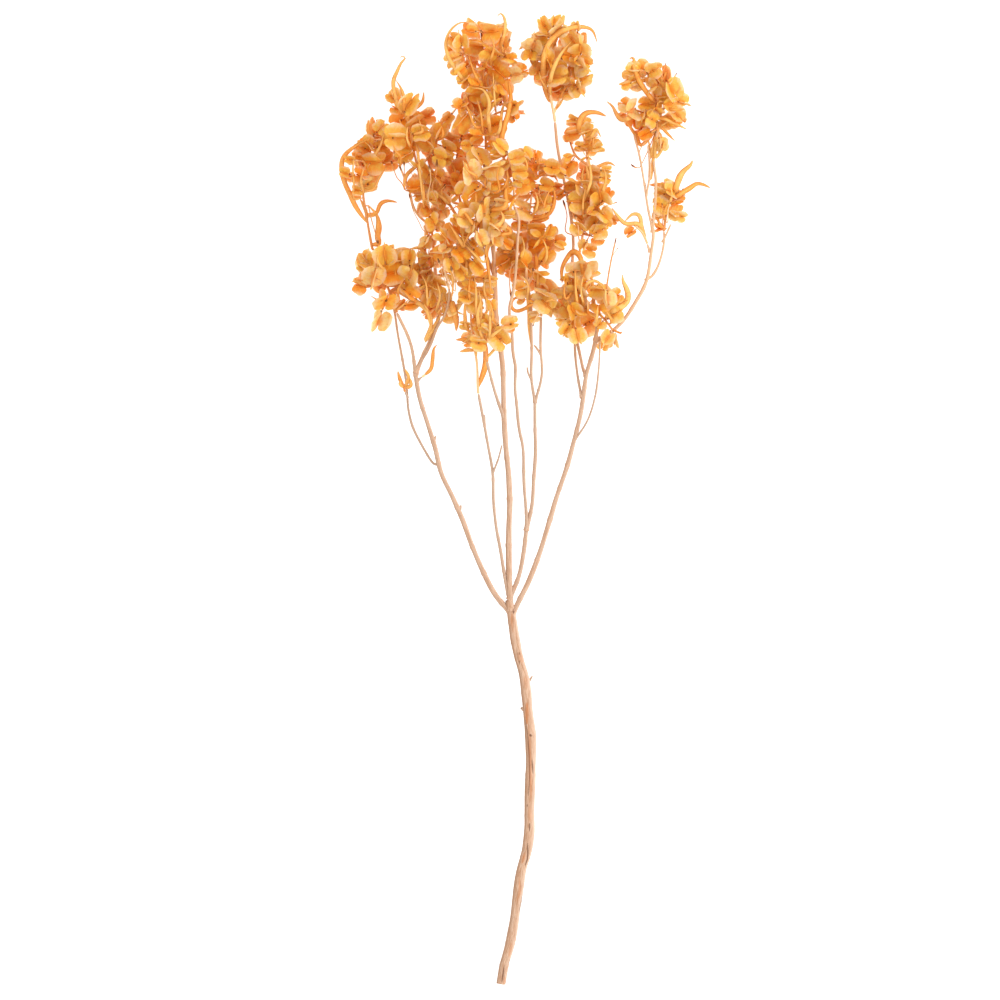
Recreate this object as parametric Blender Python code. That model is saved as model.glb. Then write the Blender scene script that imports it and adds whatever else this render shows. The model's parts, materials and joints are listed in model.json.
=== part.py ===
"""A dried and dyed hop-bush branch with papery winged seed capsules, lying on a table.

Frame: metres, +Z up, the table at z = 0. The branch lies along +Y, from its cut end to its
heads, and the origin is under the middle of its box.

The tables below give the branch's plan, as seen from above, in pixels of the photograph that
it was traced from, and its heights, radii and lengths in millimetres.
"""
import math
import random
from dataclasses import dataclass

import bmesh
import bpy
import numpy as np
from mathutils import Vector

# Driving dimensions, in millimetres
PIXEL = 0.72                      # one pixel of the plan: the branch is 971 pixels, 700 mm, long
PLAN_MIDDLE = (524.9, 500.6)      # the pixel of the plan that is the frame's origin
STEM_FORK_HEIGHT = 26.0
STEM_CUT_HEIGHT = 2.8
CAPSULE_RADIUS = 10.0             # from the axis to a wing's edge: 17 mm across two wings
CAPSULE_LENGTH = 17.0
CAPSULE_BODY_RADIUS = 1.7
CAPSULE_LEVEL = np.array((1.0, 1.0, 0.35))    # a capsule lies flatter than the stalk it hangs from
WING_LOW = (0.18, 0.82)           # a wing's lower corner: share of the length, share of the radius
WING_HIGH = (0.70, 1.0)
WING_TWIST = 0.2                  # radians
CROWDING = 0.55                   # how deep a capsule may sit in its neighbours, in its own radii
WING_ROLL = 0.4                   # radians: one wing of the three points roughly up, or down
STALK_RADIUS = 0.65               # a capsule's own stalk
SPRAY_STALK_BASE = 1.0            # the radius of a spray's stalks, at their foot and at their tip
SPRAY_STALK_TIP = 0.75
LEAF_THICKNESS = 0.9
LEAF_RISE = 7.0                   # how far a traced leaf climbs from its root to its tip
LEAF_CUP = 0.35                   # how far a leaf's edges lift, in its own half widths
LEAF_ROLL = math.radians(25)
LOOSE_LEAF_WIDTHS = (3.0, 4.4)
LOOSE_LEAF_LENGTH = 9.0           # the least length
LOOSE_LEAF_ROLL = 0.8             # radians, at most
SEAT_GAP = 0.35                   # between a twig's tip and the spray that grows on from it
SEAT_LENGTH = 1.5                 # how far a spray's first stalk runs straight on from its twig
NODE_GAP = 0.45                   # the least room between repeats of two different nodes
TABLE_DIP = 0.9                   # how far a resting capsule dips under the table before it is cut
TABLE_GAP = 2.0                   # the least room under every other capsule

# How finely the shapes are cut
STEM_SIDES = 10
LIMB_SIDES = 6
TWIG_SIDES = 4
STALK_SIDES = 3
STEM_STEP = 14.0
TWIG_STEP = 20.0
STALK_STEP = 20.0
LEAF_STEP = 12.0
FINE_STEP = 2.0
SEAT_POINTS = 1                   # nothing grows from this many fine steps next to the seat
ROOT_SHIFT = 0.1                  # roots at one place differ by this much, so no corners meet
CAPSULE_TRIES = 60
LEAF_TRIES = 12
REST_TRIES = 5

# The bare stem, from its cut end to its fork: plan x, plan y, radius
STEM = (
    (501, 985, 3.2), (504, 967, 3.6), (506, 960, 3.35), (512, 936, 3.45),
    (516.5, 905, 3.5), (521.2, 872, 3.65), (526.7, 852, 3.75), (529.2, 836, 3.75), (529.5, 806, 3.75),
    (530.7, 770, 3.8), (530.7, 737, 4.0), (527.5, 708, 3.7), (525.2, 682, 3.5), (517.3, 651, 3.35),
    (511.3, 614, 3.4), (509, 600, 2.7),
)


@dataclass
class Twig:
    """A tapering woody tube. Route points are (x, y) or (x, y, height)."""
    parent: str
    base_radius: float
    tip_radius: float
    route: tuple
    sides: int = TWIG_SIDES


TWIGS = {
    "left_limb": Twig("stem", 2.0, 1.55, (
        (511, 613), (506, 603), (498, 599), (477, 558), (458, 508), (449, 490), (438, 464),
        (433, 437), (424, 414), (417, 386), (415, 371, 30)), LIMB_SIDES),
    "left_side_twig": Twig("left_limb", 0.95, 0.8, (
        (437, 465), (432, 462), (419, 440), (412, 425), (408, 407), (407, 391), (404, 375, 20),
        (400, 355), (395, 333, 12), (392, 310, 8), (386, 285, 7), (378, 262, 7), (373, 250, 9))),
    "left_arm": Twig("left_limb", 1.3, 1.0, (
        (416, 376), (412, 352), (409, 338), (401, 322, 30), (397, 313, 31))),
    "left_inner_arm": Twig("left_limb", 1.6, 1.2, (
        (415, 374), (426, 349), (436, 328, 22), (439, 305, 13), (436, 280, 11), (434, 256, 13))),
    "left_inner_twin": Twig("left_limb", 0.9, 0.8, (
        (417, 372), (430, 346), (438, 328, 27), (440, 317, 29))),
    "left_front_twig": Twig("left_inner_twin", 0.8, 0.7, (
        (437, 331), (446, 312, 37), (450, 297, 43), (446, 280, 48), (444, 270, 50))),
    "centre_left_twig": Twig("stem", 1.2, 1.0, (
        (509, 606), (505, 579), (500, 547), (494, 512), (493, 476), (488, 445), (484, 422),
        (479, 407), (478.5, 394, 44))),
    "centre_left_sprig": Twig("centre_left_twig", 0.7, 0.7, (
        (493, 474), (498, 460), (502, 445, 46))),
    "centre_limb": Twig("stem", 2.3, 1.4, (
        (510, 610), (509, 568), (509, 525), (510, 492), (509, 479), (506, 448), (504, 416, 40),
        (503, 371), (501, 352, 40), (496, 314, 38), (494, 257, 36), (490, 225, 35),
        (487, 190, 36), (486, 160, 40), (486, 150, 41)), LIMB_SIDES),
    "centre_side_twig": Twig("centre_limb", 1.2, 1.0, (
        (504, 419), (496, 395), (489, 374, 54), (487, 362, 57))),
    "centre_riser": Twig("centre_limb", 1.2, 1.0, (
        (494, 272), (494, 252, 48), (494, 238, 56))),
    "centre_back_twig": Twig("centre_limb", 1.1, 0.9, (
        (494, 277), (482, 245, 26), (468, 218, 19), (462, 206, 18))),
    "right_centre_limb": Twig("stem", 1.7, 1.5, (
        (511, 600), (513.5, 588), (520, 573), (525, 543), (526.5, 528, 30))),
    "right_centre_left": Twig("right_centre_limb", 1.2, 1.0, (
        (526.5, 531), (526, 514), (524, 482), (523, 448), (519, 428), (517, 402), (515, 388),
        (516, 367), (512.5, 353, 42), (513.5, 333), (515, 318, 46), (514, 290, 52),
        (517, 262, 57), (517, 240, 60), (519, 222, 60), (514, 207, 58))),
    "right_centre_right": Twig("right_centre_limb", 1.5, 1.2, (
        (526.5, 531), (531, 514), (533.5, 482), (535.5, 460), (535, 428), (535, 400, 34))),
    "right_centre_inner": Twig("right_centre_right", 1.1, 0.9, (
        (535, 403), (532, 381), (531, 375), (531.5, 358), (532, 343), (531, 322, 34),
        (530, 302, 33))),
    "right_centre_outer": Twig("right_centre_right", 1.0, 0.9, (
        (535, 403), (538.5, 391), (542, 373), (540.5, 353), (541, 330, 36), (541, 317, 36))),
    "right_cross_twig": Twig("right_centre_outer", 0.7, 0.7, (
        (540, 354), (538, 350), (534, 345, 35))),
    "right_limb": Twig("stem", 2.0, 1.5, (
        (513, 615), (519, 600), (528, 583), (538.5, 555), (550, 518), (556, 496), (566.5, 467),
        (574, 441), (579, 417), (582, 396), (585, 374), (591, 354), (596, 338, 31)), LIMB_SIDES),
    "right_seat_arm": Twig("right_limb", 1.3, 1.1, (
        (595, 342), (597, 330, 33), (597, 320, 34))),
    "right_outer_arm": Twig("right_limb", 1.5, 1.1, (
        (595, 342), (611, 331), (622, 320), (633, 303), (645.5, 280, 26), (650, 251),
        (653, 227, 22))),
    "right_side_twig": Twig("right_limb", 0.8, 0.7, (
        (576, 443), (585.5, 425), (593, 404), (599, 377), (597.5, 356, 36), (600, 343, 38))),
    "right_low_twig": Twig("right_limb", 1.0, 0.9, (
        (581, 399), (577, 371), (575, 348, 18), (576, 325, 9), (579, 290, 7), (580, 265, 10),
        (580, 252, 15))),
    "right_top_twig": Twig("right_limb", 1.2, 1.0, (
        (584.5, 377), (580, 353), (577, 343, 19), (571, 320, 8), (570, 295, 7), (573, 262, 12),
        (574, 244), (572, 216, 20), (564, 180, 24), (558, 150, 26), (555, 122, 28))),
    "far_left_twig": Twig("right_outer_arm", 0.8, 0.7, (
        (653, 229), (648, 209), (647, 192), (642, 174), (640, 160), (640, 146, 22),
        (634, 134, 22))),
    "far_middle_twig": Twig("far_left_twig", 0.7, 0.7, (
        (647, 195), (650, 175), (650, 158, 24), (648, 145, 25))),
    "far_arm": Twig("right_outer_arm", 1.05, 0.9, (
        (652, 233), (656, 192), (655, 164), (653, 150, 21), (656, 138, 21), (657, 131, 21))),
    "far_side_twig": Twig("right_outer_arm", 0.9, 0.8, (
        (647, 281), (657, 265), (663, 248), (665, 240, 18), (664, 231, 17))),
    "far_fork": Twig("far_side_twig", 0.7, 0.7, (
        (665, 242), (668, 231), (671, 224, 19))),
    "stem_stub": Twig("stem", 1.0, 0.7, ((525.5, 688), (529.5, 681), (532.5, 676))),
    "stem_knot": Twig("stem", 1.5, 1.2, ((527, 712), (523, 709), (520.5, 708))),
    "left_limb_stub": Twig("left_limb", 0.9, 0.8, ((459, 513), (460.5, 508), (461, 505))),
    "left_limb_bud": Twig("left_limb", 0.9, 0.8, ((433.5, 441), (435, 438), (436, 436))),
    "centre_left_stub": Twig("centre_left_twig", 0.9, 0.8, ((484, 426), (484.5, 419), (484.5, 415))),
    "right_inner_stub": Twig("right_centre_inner", 0.7, 0.7, ((531.5, 379), (528, 373), (527, 367))),
    "left_leaf_stub": Twig("left_limb", 0.9, 0.8, ((417, 381), (420, 378), (422, 377, 31))),
    "right_leaf_stub": Twig("right_outer_arm", 0.8, 0.7, ((650.5, 252), (648.5, 247), (647.5, 244, 24))),
    "tuft_stub": Twig("left_side_twig", 0.8, 0.7, ((408, 397), (406, 394, 27), (405, 391.5, 29))),
}

SMALL = 7.6       # the wing radius of a small capsule, given as a place's third value
TINY = 5.0


@dataclass
class Spray:
    """A head: its own stalks, the places of its capsules, and the leaves traced on it.

    height is the middle of the head and depth the reach of its capsules above and below it.
    A place is (x, y) or (x, y, wing radius); a leaf is (width, route). The first stalk grows
    on from the seat twig's tip, and the others grow from the nearest stalk before them. A
    capsule at a resting place reaches down to the table.
    """
    seat: str
    height: float
    depth: float
    stalks: tuple
    places: tuple = ()
    leaves: tuple = ()
    loose_leaves: int = 0
    resting: tuple = ()


SPRAYS = {
    "spray_left_curl": Spray(
        "left_side_twig", 15.5, 9, (
            ((370, 238), (367, 222), (367, 206), (363, 192), (365, 172), (371, 150), (374, 133)),
            ((366, 170), (380, 162))),
        ((374, 129), (366, 143), (381, 146, SMALL), (357, 156, SMALL), (373, 161), (386, 158, SMALL),
         (361, 175, SMALL), (368, 185, SMALL)),
        ((4.6, ((367, 223), (352, 199), (343, 178), (341, 162), (347, 150), (368, 139))),
         (4.6, ((373, 248), (383, 231), (377, 213), (383, 201), (398, 201))),
         (3.4, ((373, 150), (369, 134), (368, 119)))),
        1, ((362, 160), (375, 176))),
    "spray_left_middle": Spray(
        "left_inner_arm", 33, 13, (
            ((433, 240, 19), (429, 215, 25), (425, 200, 30), (420, 180), (416, 160), (410, 135),
             (404, 110)),
            ((418, 170), (430, 155), (438, 138)),
            ((428, 228), (419, 221, 24), (412, 197, 30), (405, 180, 34), (399, 165, 34)),
            ((426, 205), (437, 190), (440, 175))),
        ((399, 103, SMALL), (411, 103), (398, 119), (413, 122), (427, 122), (440, 131, SMALL),
         (395, 137), (411, 140), (427, 142), (398, 154), (435, 155), (417, 165, SMALL),
         (436, 176, SMALL), (416, 184, SMALL), (432, 200, SMALL), (428, 221, SMALL)),
        ((3.8, ((402, 113), (395, 88), (397, 74), (405, 61), (399, 57))),
         (3.0, ((419, 112), (422, 103), (424, 92))),
         (3.4, ((417, 165), (406, 176), (404, 190))),
         (3.4, ((429, 215), (441, 208), (447, 218)))),
        1),
    "spray_column": Spray(
        "centre_limb", 41, 17, (
            ((486, 140), (485, 120), (484, 95), (484, 70), (482, 45), (481, 30)),
            ((485, 118), (470, 108), (459, 100)),
            ((485, 120), (500, 112), (512, 110)),
            ((484, 75), (498, 62), (503, 45)),
            ((484, 80), (469, 62), (460, 46)),
            ((484, 90), (499, 82), (512, 75))),
        ((478, 27), (492, 32), (462, 40, SMALL), (503, 42), (477, 46), (491, 52), (457, 56, SMALL),
         (507, 57, SMALL), (467, 66), (483, 69), (499, 72), (516, 75, SMALL), (478, 87),
         (458, 105), (473, 104), (489, 105), (513, 112), (463, 121), (479, 124), (495, 124),
         (497, 140, SMALL)),
        ((2.6, ((463, 92), (451, 70), (446, 50), (453, 29), (464, 22), (471, 25))),
         (2.6, ((502, 40), (505, 24), (502, 15), (497, 17))),
         (3.6, ((489, 145), (503, 133), (510, 105), (507, 82))),
         (3.2, ((469, 94), (480, 88), (488, 98), (489, 115)))),
        1),
    "spray_top": Spray(
        "right_top_twig", 33, 16, (
            ((553, 107), (550, 90), (550, 72), (553, 52), (552, 35)),
            ((554, 112), (562, 92), (573, 72), (582, 50)),
            ((551, 68), (537, 56), (530, 48)),
            ((565, 88), (578, 84))),
        ((547, 25, SMALL), (559, 29, SMALL), (530, 41), (544, 44), (529, 54, SMALL), (570, 41),
         (583, 48), (548, 60), (563, 58), (578, 63), (543, 74), (557, 77), (572, 78),
         (586, 78, SMALL), (567, 92, SMALL), (579, 92, SMALL)),
        ((4.6, ((552, 102), (546, 76), (549, 50), (565, 31), (589, 28), (598, 42))),
         (3.6, ((551, 90), (556, 72), (564, 55), (580, 40))),
         (3.0, ((531, 50), (524, 46), (519, 50)))),
        1),
    "spray_right_middle": Spray(
        "right_low_twig", 28, 13, (
            ((582, 236), (585, 222), (587, 205), (588, 185), (588, 165), (586, 148), (582, 130),
             (578, 118)),
            ((586, 214), (597, 208), (604, 198)),
            ((588, 190), (577, 182)),
            ((588, 165), (576, 156), (570, 142)),
            ((583, 234), (592, 236))),
        ((577, 119, SMALL), (588, 131, SMALL), (592, 147, SMALL), (570, 137, TINY), (569, 157, TINY),
         (583, 171, SMALL), (577, 184), (592, 181), (605, 180), (578, 201), (592, 199), (606, 198),
         (590, 217), (605, 215), (598, 230, SMALL)),
        ((3.2, ((580, 124), (586, 112), (597, 112), (607, 118))),
         (3.2, ((589, 172), (600, 166), (609, 163), (615, 166))),
         (3.0, ((586, 225), (575, 214), (568, 196)))),
        1),
    "spray_far_top": Spray(
        "far_arm", 20, 12.5, (
            ((658, 120), (656, 100), (651, 82), (646, 68)),
            ((657, 112), (669, 105), (679, 98)),
            ((657, 116), (642, 112), (631, 108)),
            ((655, 94), (667, 80))),
        ((641, 66, SMALL), (653, 70, SMALL), (636, 83, SMALL), (665, 76), (676, 88), (681, 101, SMALL),
         (678, 114, SMALL), (664, 96), (631, 107), (646, 104), (635, 119, SMALL), (651, 118, SMALL),
         (646, 134, TINY), (661, 143, TINY)),
        ((3.4, ((656, 104), (648, 92), (640, 80), (634, 66), (633, 56))),
         (3.0, ((632, 112), (622, 120), (615, 110), (607, 101))),
         (2.4, ((659, 122), (667, 133), (675, 141)))),
        1, ((662, 90), (653, 112))),
    "spray_far_low": Spray(
        "far_side_twig", 15, 5, (
            ((665, 220), (667, 210), (670, 197), (674, 188)),
            ((666, 213), (677, 213))),
        ((670, 188, SMALL), (680, 193, TINY), (663, 199, SMALL), (674, 203, SMALL), (658, 213, SMALL),
         (681, 215, TINY)),
        ((4.6, ((675, 190), (680, 181), (685, 168), (692, 167), (694, 160))),
         (3.8, ((674, 192), (690, 189), (702, 184), (711, 188))),
         (3.2, ((669, 194), (659, 185), (650, 184, 5))))),
    "spray_centre_back": Spray(
        "centre_back_twig", 20, 7, (
            ((459, 195), (456, 178), (457, 155), (462, 135)),),
        ((465, 134), (456, 150), (446, 163), (460, 170), (448, 183), (457, 194, SMALL)),
        ((3.2, ((457, 184), (447, 196), (443, 210))),)),
    "spray_centre_front": Spray(
        "centre_riser", 65, 11, (
            ((492, 225), (489, 208), (486, 188), (484, 165)),
            ((490, 214), (478, 218), (471, 222)),
            ((487, 190), (470, 178))),
        ((479, 158), (493, 168), (471, 173), (490, 191, 10.6), (474, 193), (467, 207, SMALL),
         (483, 210), (500, 213), (478, 225, SMALL), (497, 228, SMALL)),
        ((3.6, ((487, 195), (503, 190), (508, 178))),
         (3.2, ((489, 210), (471, 232), (464, 245)))),
        1),
    "spray_centre_crown": Spray(
        "right_centre_left", 64, 6, (
            ((514, 198), (514, 182), (511, 165), (507, 152)),),
        ((507, 165), (519, 182), (504, 146, SMALL), (511, 200, SMALL)),
        ((2.6, ((515, 190), (524, 176), (527, 166), (523, 155))),)),
    "spray_centre_left": Spray(
        "left_front_twig", 56, 8, (
            ((447, 262), (455, 250), (466, 240), (473, 232)),
            ((450, 258), (446, 246), (445, 236))),
        ((444, 237, SMALL), (457, 229), (471, 231, SMALL), (446, 251), (461, 251), (474, 245, SMALL)),
        ((3.2, ((457, 249), (466, 262), (464, 276))),),
        1),
    "spray_centre_right": Spray(
        "right_centre_inner", 32, 13, (
            ((528, 288), (526, 265), (528, 235), (530, 205), (534, 180), (536, 162)),
            ((527, 240), (540, 236), (552, 240)),
            ((526, 262), (515, 252), (511, 240)),
            ((528, 285), (541, 262))),
        ((523, 155, SMALL), (535, 161), (547, 172, SMALL), (528, 178), (524, 210), (537, 222),
         (510, 238), (524, 240), (541, 238), (555, 240, SMALL), (508, 257), (523, 262),
         (539, 258), (516, 273, SMALL)),
        ((3.6, ((531, 222), (549, 214), (555, 198), (552, 184))),
         (3.0, ((535, 178), (550, 172), (558, 182)))),
        1),
    "spray_left_low": Spray(
        "left_arm", 35, 14, (
            ((394, 304), (389, 290), (381, 276), (370, 268)),
            ((391, 293), (403, 282), (412, 277)),
            ((385, 283), (372, 286), (364, 288)),
            ((383, 279), (388, 262)),
            ((390, 296), (384, 306), (381, 312))),
        ((366, 261), (386, 253), (402, 259), (375, 276, 10.4), (392, 272), (410, 274), (359, 284, SMALL),
         (398, 288), (411, 294, SMALL), (386, 301), (402, 304, SMALL), (379, 321)),
        ((3.0, ((371, 269), (360, 266), (357, 256))),
         (3.0, ((368, 287), (357, 281), (352, 282))),
         (4.0, ((400, 294), (418, 303), (427, 312), (430, 326)))),
        1),
    "spray_left_inner": Spray(
        "left_inner_twin", 33, 11, (
            ((437, 306), (431, 290), (428, 270), (427, 255)),
            ((436, 303), (447, 305), (456, 311))),
        ((424, 244, TINY), (429, 258, SMALL), (424, 274), (436, 284), (426, 294, SMALL), (441, 303),
         (455, 311, SMALL)),
        ((3.4, ((430, 285), (422, 270), (418, 254))),
         (3.0, ((428, 262), (420, 248), (410, 249))),
         (3.2, ((455, 310), (459, 322), (456, 330)))),
        1),
    "spray_centre_low": Spray(
        "centre_side_twig", 61, 7, (
            ((486, 353), (485, 342), (491, 332), (499, 325)),),
        ((484, 329), (499, 338), (509, 326, SMALL), (479, 342, SMALL)),
        ((3.4, ((486, 348), (478, 318), (481, 300))),
         (2.6, ((487, 345), (493, 318), (490, 302))))),
    "spray_centre_low_left": Spray(
        "centre_left_twig", 47, 5, (
            ((478, 385), (477, 370), (476, 352), (472, 335), (470, 315), (473, 292), (475, 274)),),
        ((467, 340, SMALL), (466, 324, SMALL), (473, 306, SMALL), (471, 288, SMALL), (479, 273, SMALL)),
        ((4.8, ((478.5, 388), (485, 368), (486, 352), (484, 338), (485, 322))),
         (3.8, ((475, 348), (466, 340), (456, 340))),
         (3.4, ((476, 352), (468, 350), (460, 352))))),
    "spray_right_inner": Spray(
        "right_centre_outer", 38, 6, (
            ((542, 308), (545, 298), (552, 292)),),
        ((545, 289), (557, 294), (547, 304), (538, 302, SMALL)),
        ((2.6, ((542, 306), (526, 300), (518, 306), (511, 300))),)),
    "spray_right_low": Spray(
        "right_seat_arm", 35, 15, (
            ((596, 310), (593, 295), (587, 280), (583, 268)),
            ((595, 305), (583, 312), (571, 320)),
            ((592, 295), (577, 292), (566, 284)),
            ((596, 308), (606, 303), (614, 298)),
            ((596, 312), (607, 322), (614, 332)),
            ((605, 304), (606, 290, 44), (611, 262, 46), (610, 251, 46), (616, 238, 48))),
        ((585, 267), (569, 276), (577, 289), (595, 294), (607, 298, SMALL), (563, 307), (560, 320, SMALL),
         (572, 325), (588, 323), (580, 308, SMALL), (615, 294, SMALL), (613, 309, SMALL),
         (616, 338, SMALL)),
        ((3.6, ((582, 270), (570, 254), (562, 264), (562, 290))),
         (4.2, ((610, 302), (625, 300), (626, 290), (622, 276))),
         (3.2, ((608, 305), (619, 306), (628, 300))))),
    "tuft_left": Spray(
        "tuft_stub", 27, 1, (
            ((404, 387), (403, 384)),),
        (),
        ((3.2, ((404, 387), (400, 379), (398, 371))),
         (3.2, ((404, 388), (409, 378), (405, 369))),
         (3.4, ((404, 388), (411, 386), (410, 378))),
         (2.8, ((404, 388), (400, 384), (401, 380))))),
    "leaf_left_fork": Spray(
        "left_leaf_stub", 32, 1, (
            ((424, 375.5), (426, 374.5)),),
        (),
        ((3.4, ((424, 375.5), (431, 369), (433, 358), (434, 349), (437, 345))),)),
    "leaf_right_fork": Spray(
        "right_leaf_stub", 26, 1, (
            ((646, 240), (645, 237), (638, 227), (633, 224)),),
        ((631, 232, TINY),),
        ((3.8, ((646, 240), (639, 224), (625, 223), (612, 208))),
         (2.4, ((645.5, 239), (641, 224), (636, 215), (629, 217))))),
}


def plan(point, height):
    """A plan pixel and a height, as a place in millimetres."""
    return np.array(((point[0] - PLAN_MIDDLE[0]) * PIXEL,
                     (PLAN_MIDDLE[1] - point[1]) * PIXEL,
                     height))


def unit(vector):
    """The vector at length one."""
    return vector / np.linalg.norm(vector)


def smooth(points, step):
    """New points, about one step apart, along a smooth curve through the given ones."""
    points = np.asarray(points, float)
    gaps = np.linalg.norm(np.diff(points, axis=0), axis=1)
    slopes = np.empty_like(points)
    slopes[0] = (points[1] - points[0]) / gaps[0]
    slopes[-1] = (points[-1] - points[-2]) / gaps[-1]
    for i in range(1, len(points) - 1):
        slopes[i] = (points[i + 1] - points[i - 1]) / (gaps[i - 1] + gaps[i])
    curve = [points[0]]
    for i, gap in enumerate(gaps):
        parts = max(1, round(gap / FINE_STEP))
        for part in range(1, parts + 1):
            t = part / parts
            rise = t * t * (3 - 2 * t)
            leave = t * (1 - t) ** 2 * gap
            arrive = t * t * (t - 1) * gap
            curve.append((1 - rise) * points[i] + rise * points[i + 1]
                         + leave * slopes[i] + arrive * slopes[i + 1])
    curve = np.array(curve)
    along = shares(curve)
    count = max(2, round(gaps.sum() / step)) + 1
    even = np.linspace(0, 1, count)
    return np.column_stack([np.interp(even, along, curve[:, k]) for k in range(3)])


def fill(line):
    """More points along the straight runs of a line."""
    along = shares(line)
    length = np.linalg.norm(np.diff(line, axis=0), axis=1).sum()
    even = np.union1d(np.linspace(0, 1, max(2, round(length / FINE_STEP))), along)
    return np.column_stack([np.interp(even, along, line[:, k]) for k in range(3)])


def shares(points):
    """How far along a line of points each one lies, from 0 to 1."""
    gaps = np.linalg.norm(np.diff(points, axis=0), axis=1)
    return np.concatenate(([0.0], np.cumsum(gaps))) / gaps.sum()


def tangents(points):
    """The direction of a line of points at each of them."""
    steps = np.gradient(points, axis=0)
    return steps / np.linalg.norm(steps, axis=1)[:, None]


def nearest(points, place):
    """The index of the point that lies nearest to a place in plan."""
    return int(np.argmin(np.linalg.norm(points[:, :2] - place[:2], axis=1)))


def raise_route(route, start_height):
    """A route's places. A height that the route leaves out lies evenly between its neighbours'."""
    flat = np.array([plan(point, 0.0) for point in route])
    along = shares(flat)
    known = [(along[0], start_height)]
    known += [(along[i], point[2]) for i, point in enumerate(route) if i and len(point) == 3]
    flat[:, 2] = np.interp(along, *zip(*known))
    return flat


class Room:
    """The space already taken, as round-ended rods, each with the node that owns it."""

    def __init__(self):
        self.owners = []
        self.rods = np.empty((0, 7))

    def take(self, owner, points, radius):
        """Adds a line of points, as thick as radius at each of them."""
        radii = np.broadcast_to(radius, len(points))
        thick = np.maximum(radii[:-1], radii[1:])
        rods = np.column_stack((points[:-1], points[1:], thick))
        self.rods = np.vstack((self.rods, rods))
        self.owners += [owner] * len(rods)

    def clearance(self, owner, points, radius, same=False):
        """The least room round a line of points to other nodes, or to the owner's own rods."""
        chosen = np.array([(name == owner) == same for name in self.owners])
        rods = self.rods[chosen]
        if not len(rods):
            return math.inf
        starts, spans = rods[:, :3], rods[:, 3:6] - rods[:, :3]
        lengths = np.maximum((spans ** 2).sum(axis=1), 1e-9)
        reach = np.asarray(points)[:, None, :] - starts
        share = np.clip((reach * spans).sum(axis=2) / lengths, 0, 1)
        away = np.linalg.norm(reach - share[..., None] * spans, axis=2) - rods[:, 6]
        return float((away.min(axis=1) - radius).min())


def ring(centre, normal, side, radius, count, turn=0.0):
    """Places on a circle round a centre."""
    angles = turn + np.arange(count) * 2 * math.pi / count
    return [centre + radius * (math.cos(a) * normal + math.sin(a) * side) for a in angles]


def band(first, second, count):
    """The faces between two rings of the same count, which start at these indices."""
    return [(first + i, first + (i + 1) % count, second + (i + 1) % count, second + i)
            for i in range(count)]


def tube(points, radii, sides):
    """Vertices and faces of a closed tube along a line of points."""
    directions = tangents(points)
    normal = unit(np.cross(directions[0], (0.31, 0.27, 0.91)))
    places, faces = [], []
    for i, (point, direction) in enumerate(zip(points, directions)):
        normal = unit(normal - direction * normal.dot(direction))
        side = np.cross(direction, normal)
        places += ring(point, normal, side, radii[i], sides)
        if i:
            faces += band((i - 1) * sides, i * sides, sides)
    last = (len(points) - 1) * sides
    faces.append(tuple(reversed(range(sides))))
    faces.append(tuple(range(last, last + sides)))
    return places, faces


def capsule(root, centre, radius, turn):
    """Vertices and faces of a three-winged capsule, whose stalk starts at a root."""
    axis = unit((centre - root) * CAPSULE_LEVEL)
    length = CAPSULE_LENGTH * radius / CAPSULE_RADIUS
    base = centre - axis * length / 2
    side = unit(np.cross(axis, (0.21, 0.13, 0.97)))
    normal = np.cross(side, axis)
    body = CAPSULE_BODY_RADIUS * radius / CAPSULE_RADIUS
    places, faces = [], []

    def star(share, spread, twist):
        """A ring of three wing edges with a valley after each."""
        middle = base + axis * length * share
        start = len(places)
        tips = ring(middle, normal, side, radius * spread, 3, turn + twist)
        valleys = ring(middle, normal, side, body, 3, turn + twist + math.pi / 3)
        for tip, valley in zip(tips, valleys):
            places.extend((tip, valley))
        return start

    if (base - root).dot(axis) > STALK_RADIUS:
        places += ring(root, normal, side, STALK_RADIUS, 3, turn)
        places += ring(base, normal, side, STALK_RADIUS * 1.3, 3, turn)
        faces.append((2, 1, 0))
        faces += band(0, 3, 3)
        low = star(*WING_LOW, 0.0)
        for i in range(3):
            foot, after = 3 + i, 3 + (i + 1) % 3
            tip, valley, next_tip = low + 2 * i, low + 2 * i + 1, low + (2 * i + 2) % 6
            faces += [(foot, valley, tip), (foot, after, valley), (after, next_tip, valley)]
    else:
        places.append(root)
        low = star(*WING_LOW, 0.0)
        faces += [(0, low + (i + 1) % 6, low + i) for i in range(6)]
    high = star(*WING_HIGH, WING_TWIST)
    faces += band(low, high, 6)
    top = len(places)
    places.append(base + axis * length)
    faces += [(high + i, high + (i + 1) % 6, top) for i in range(6)]
    return places, faces


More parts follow.
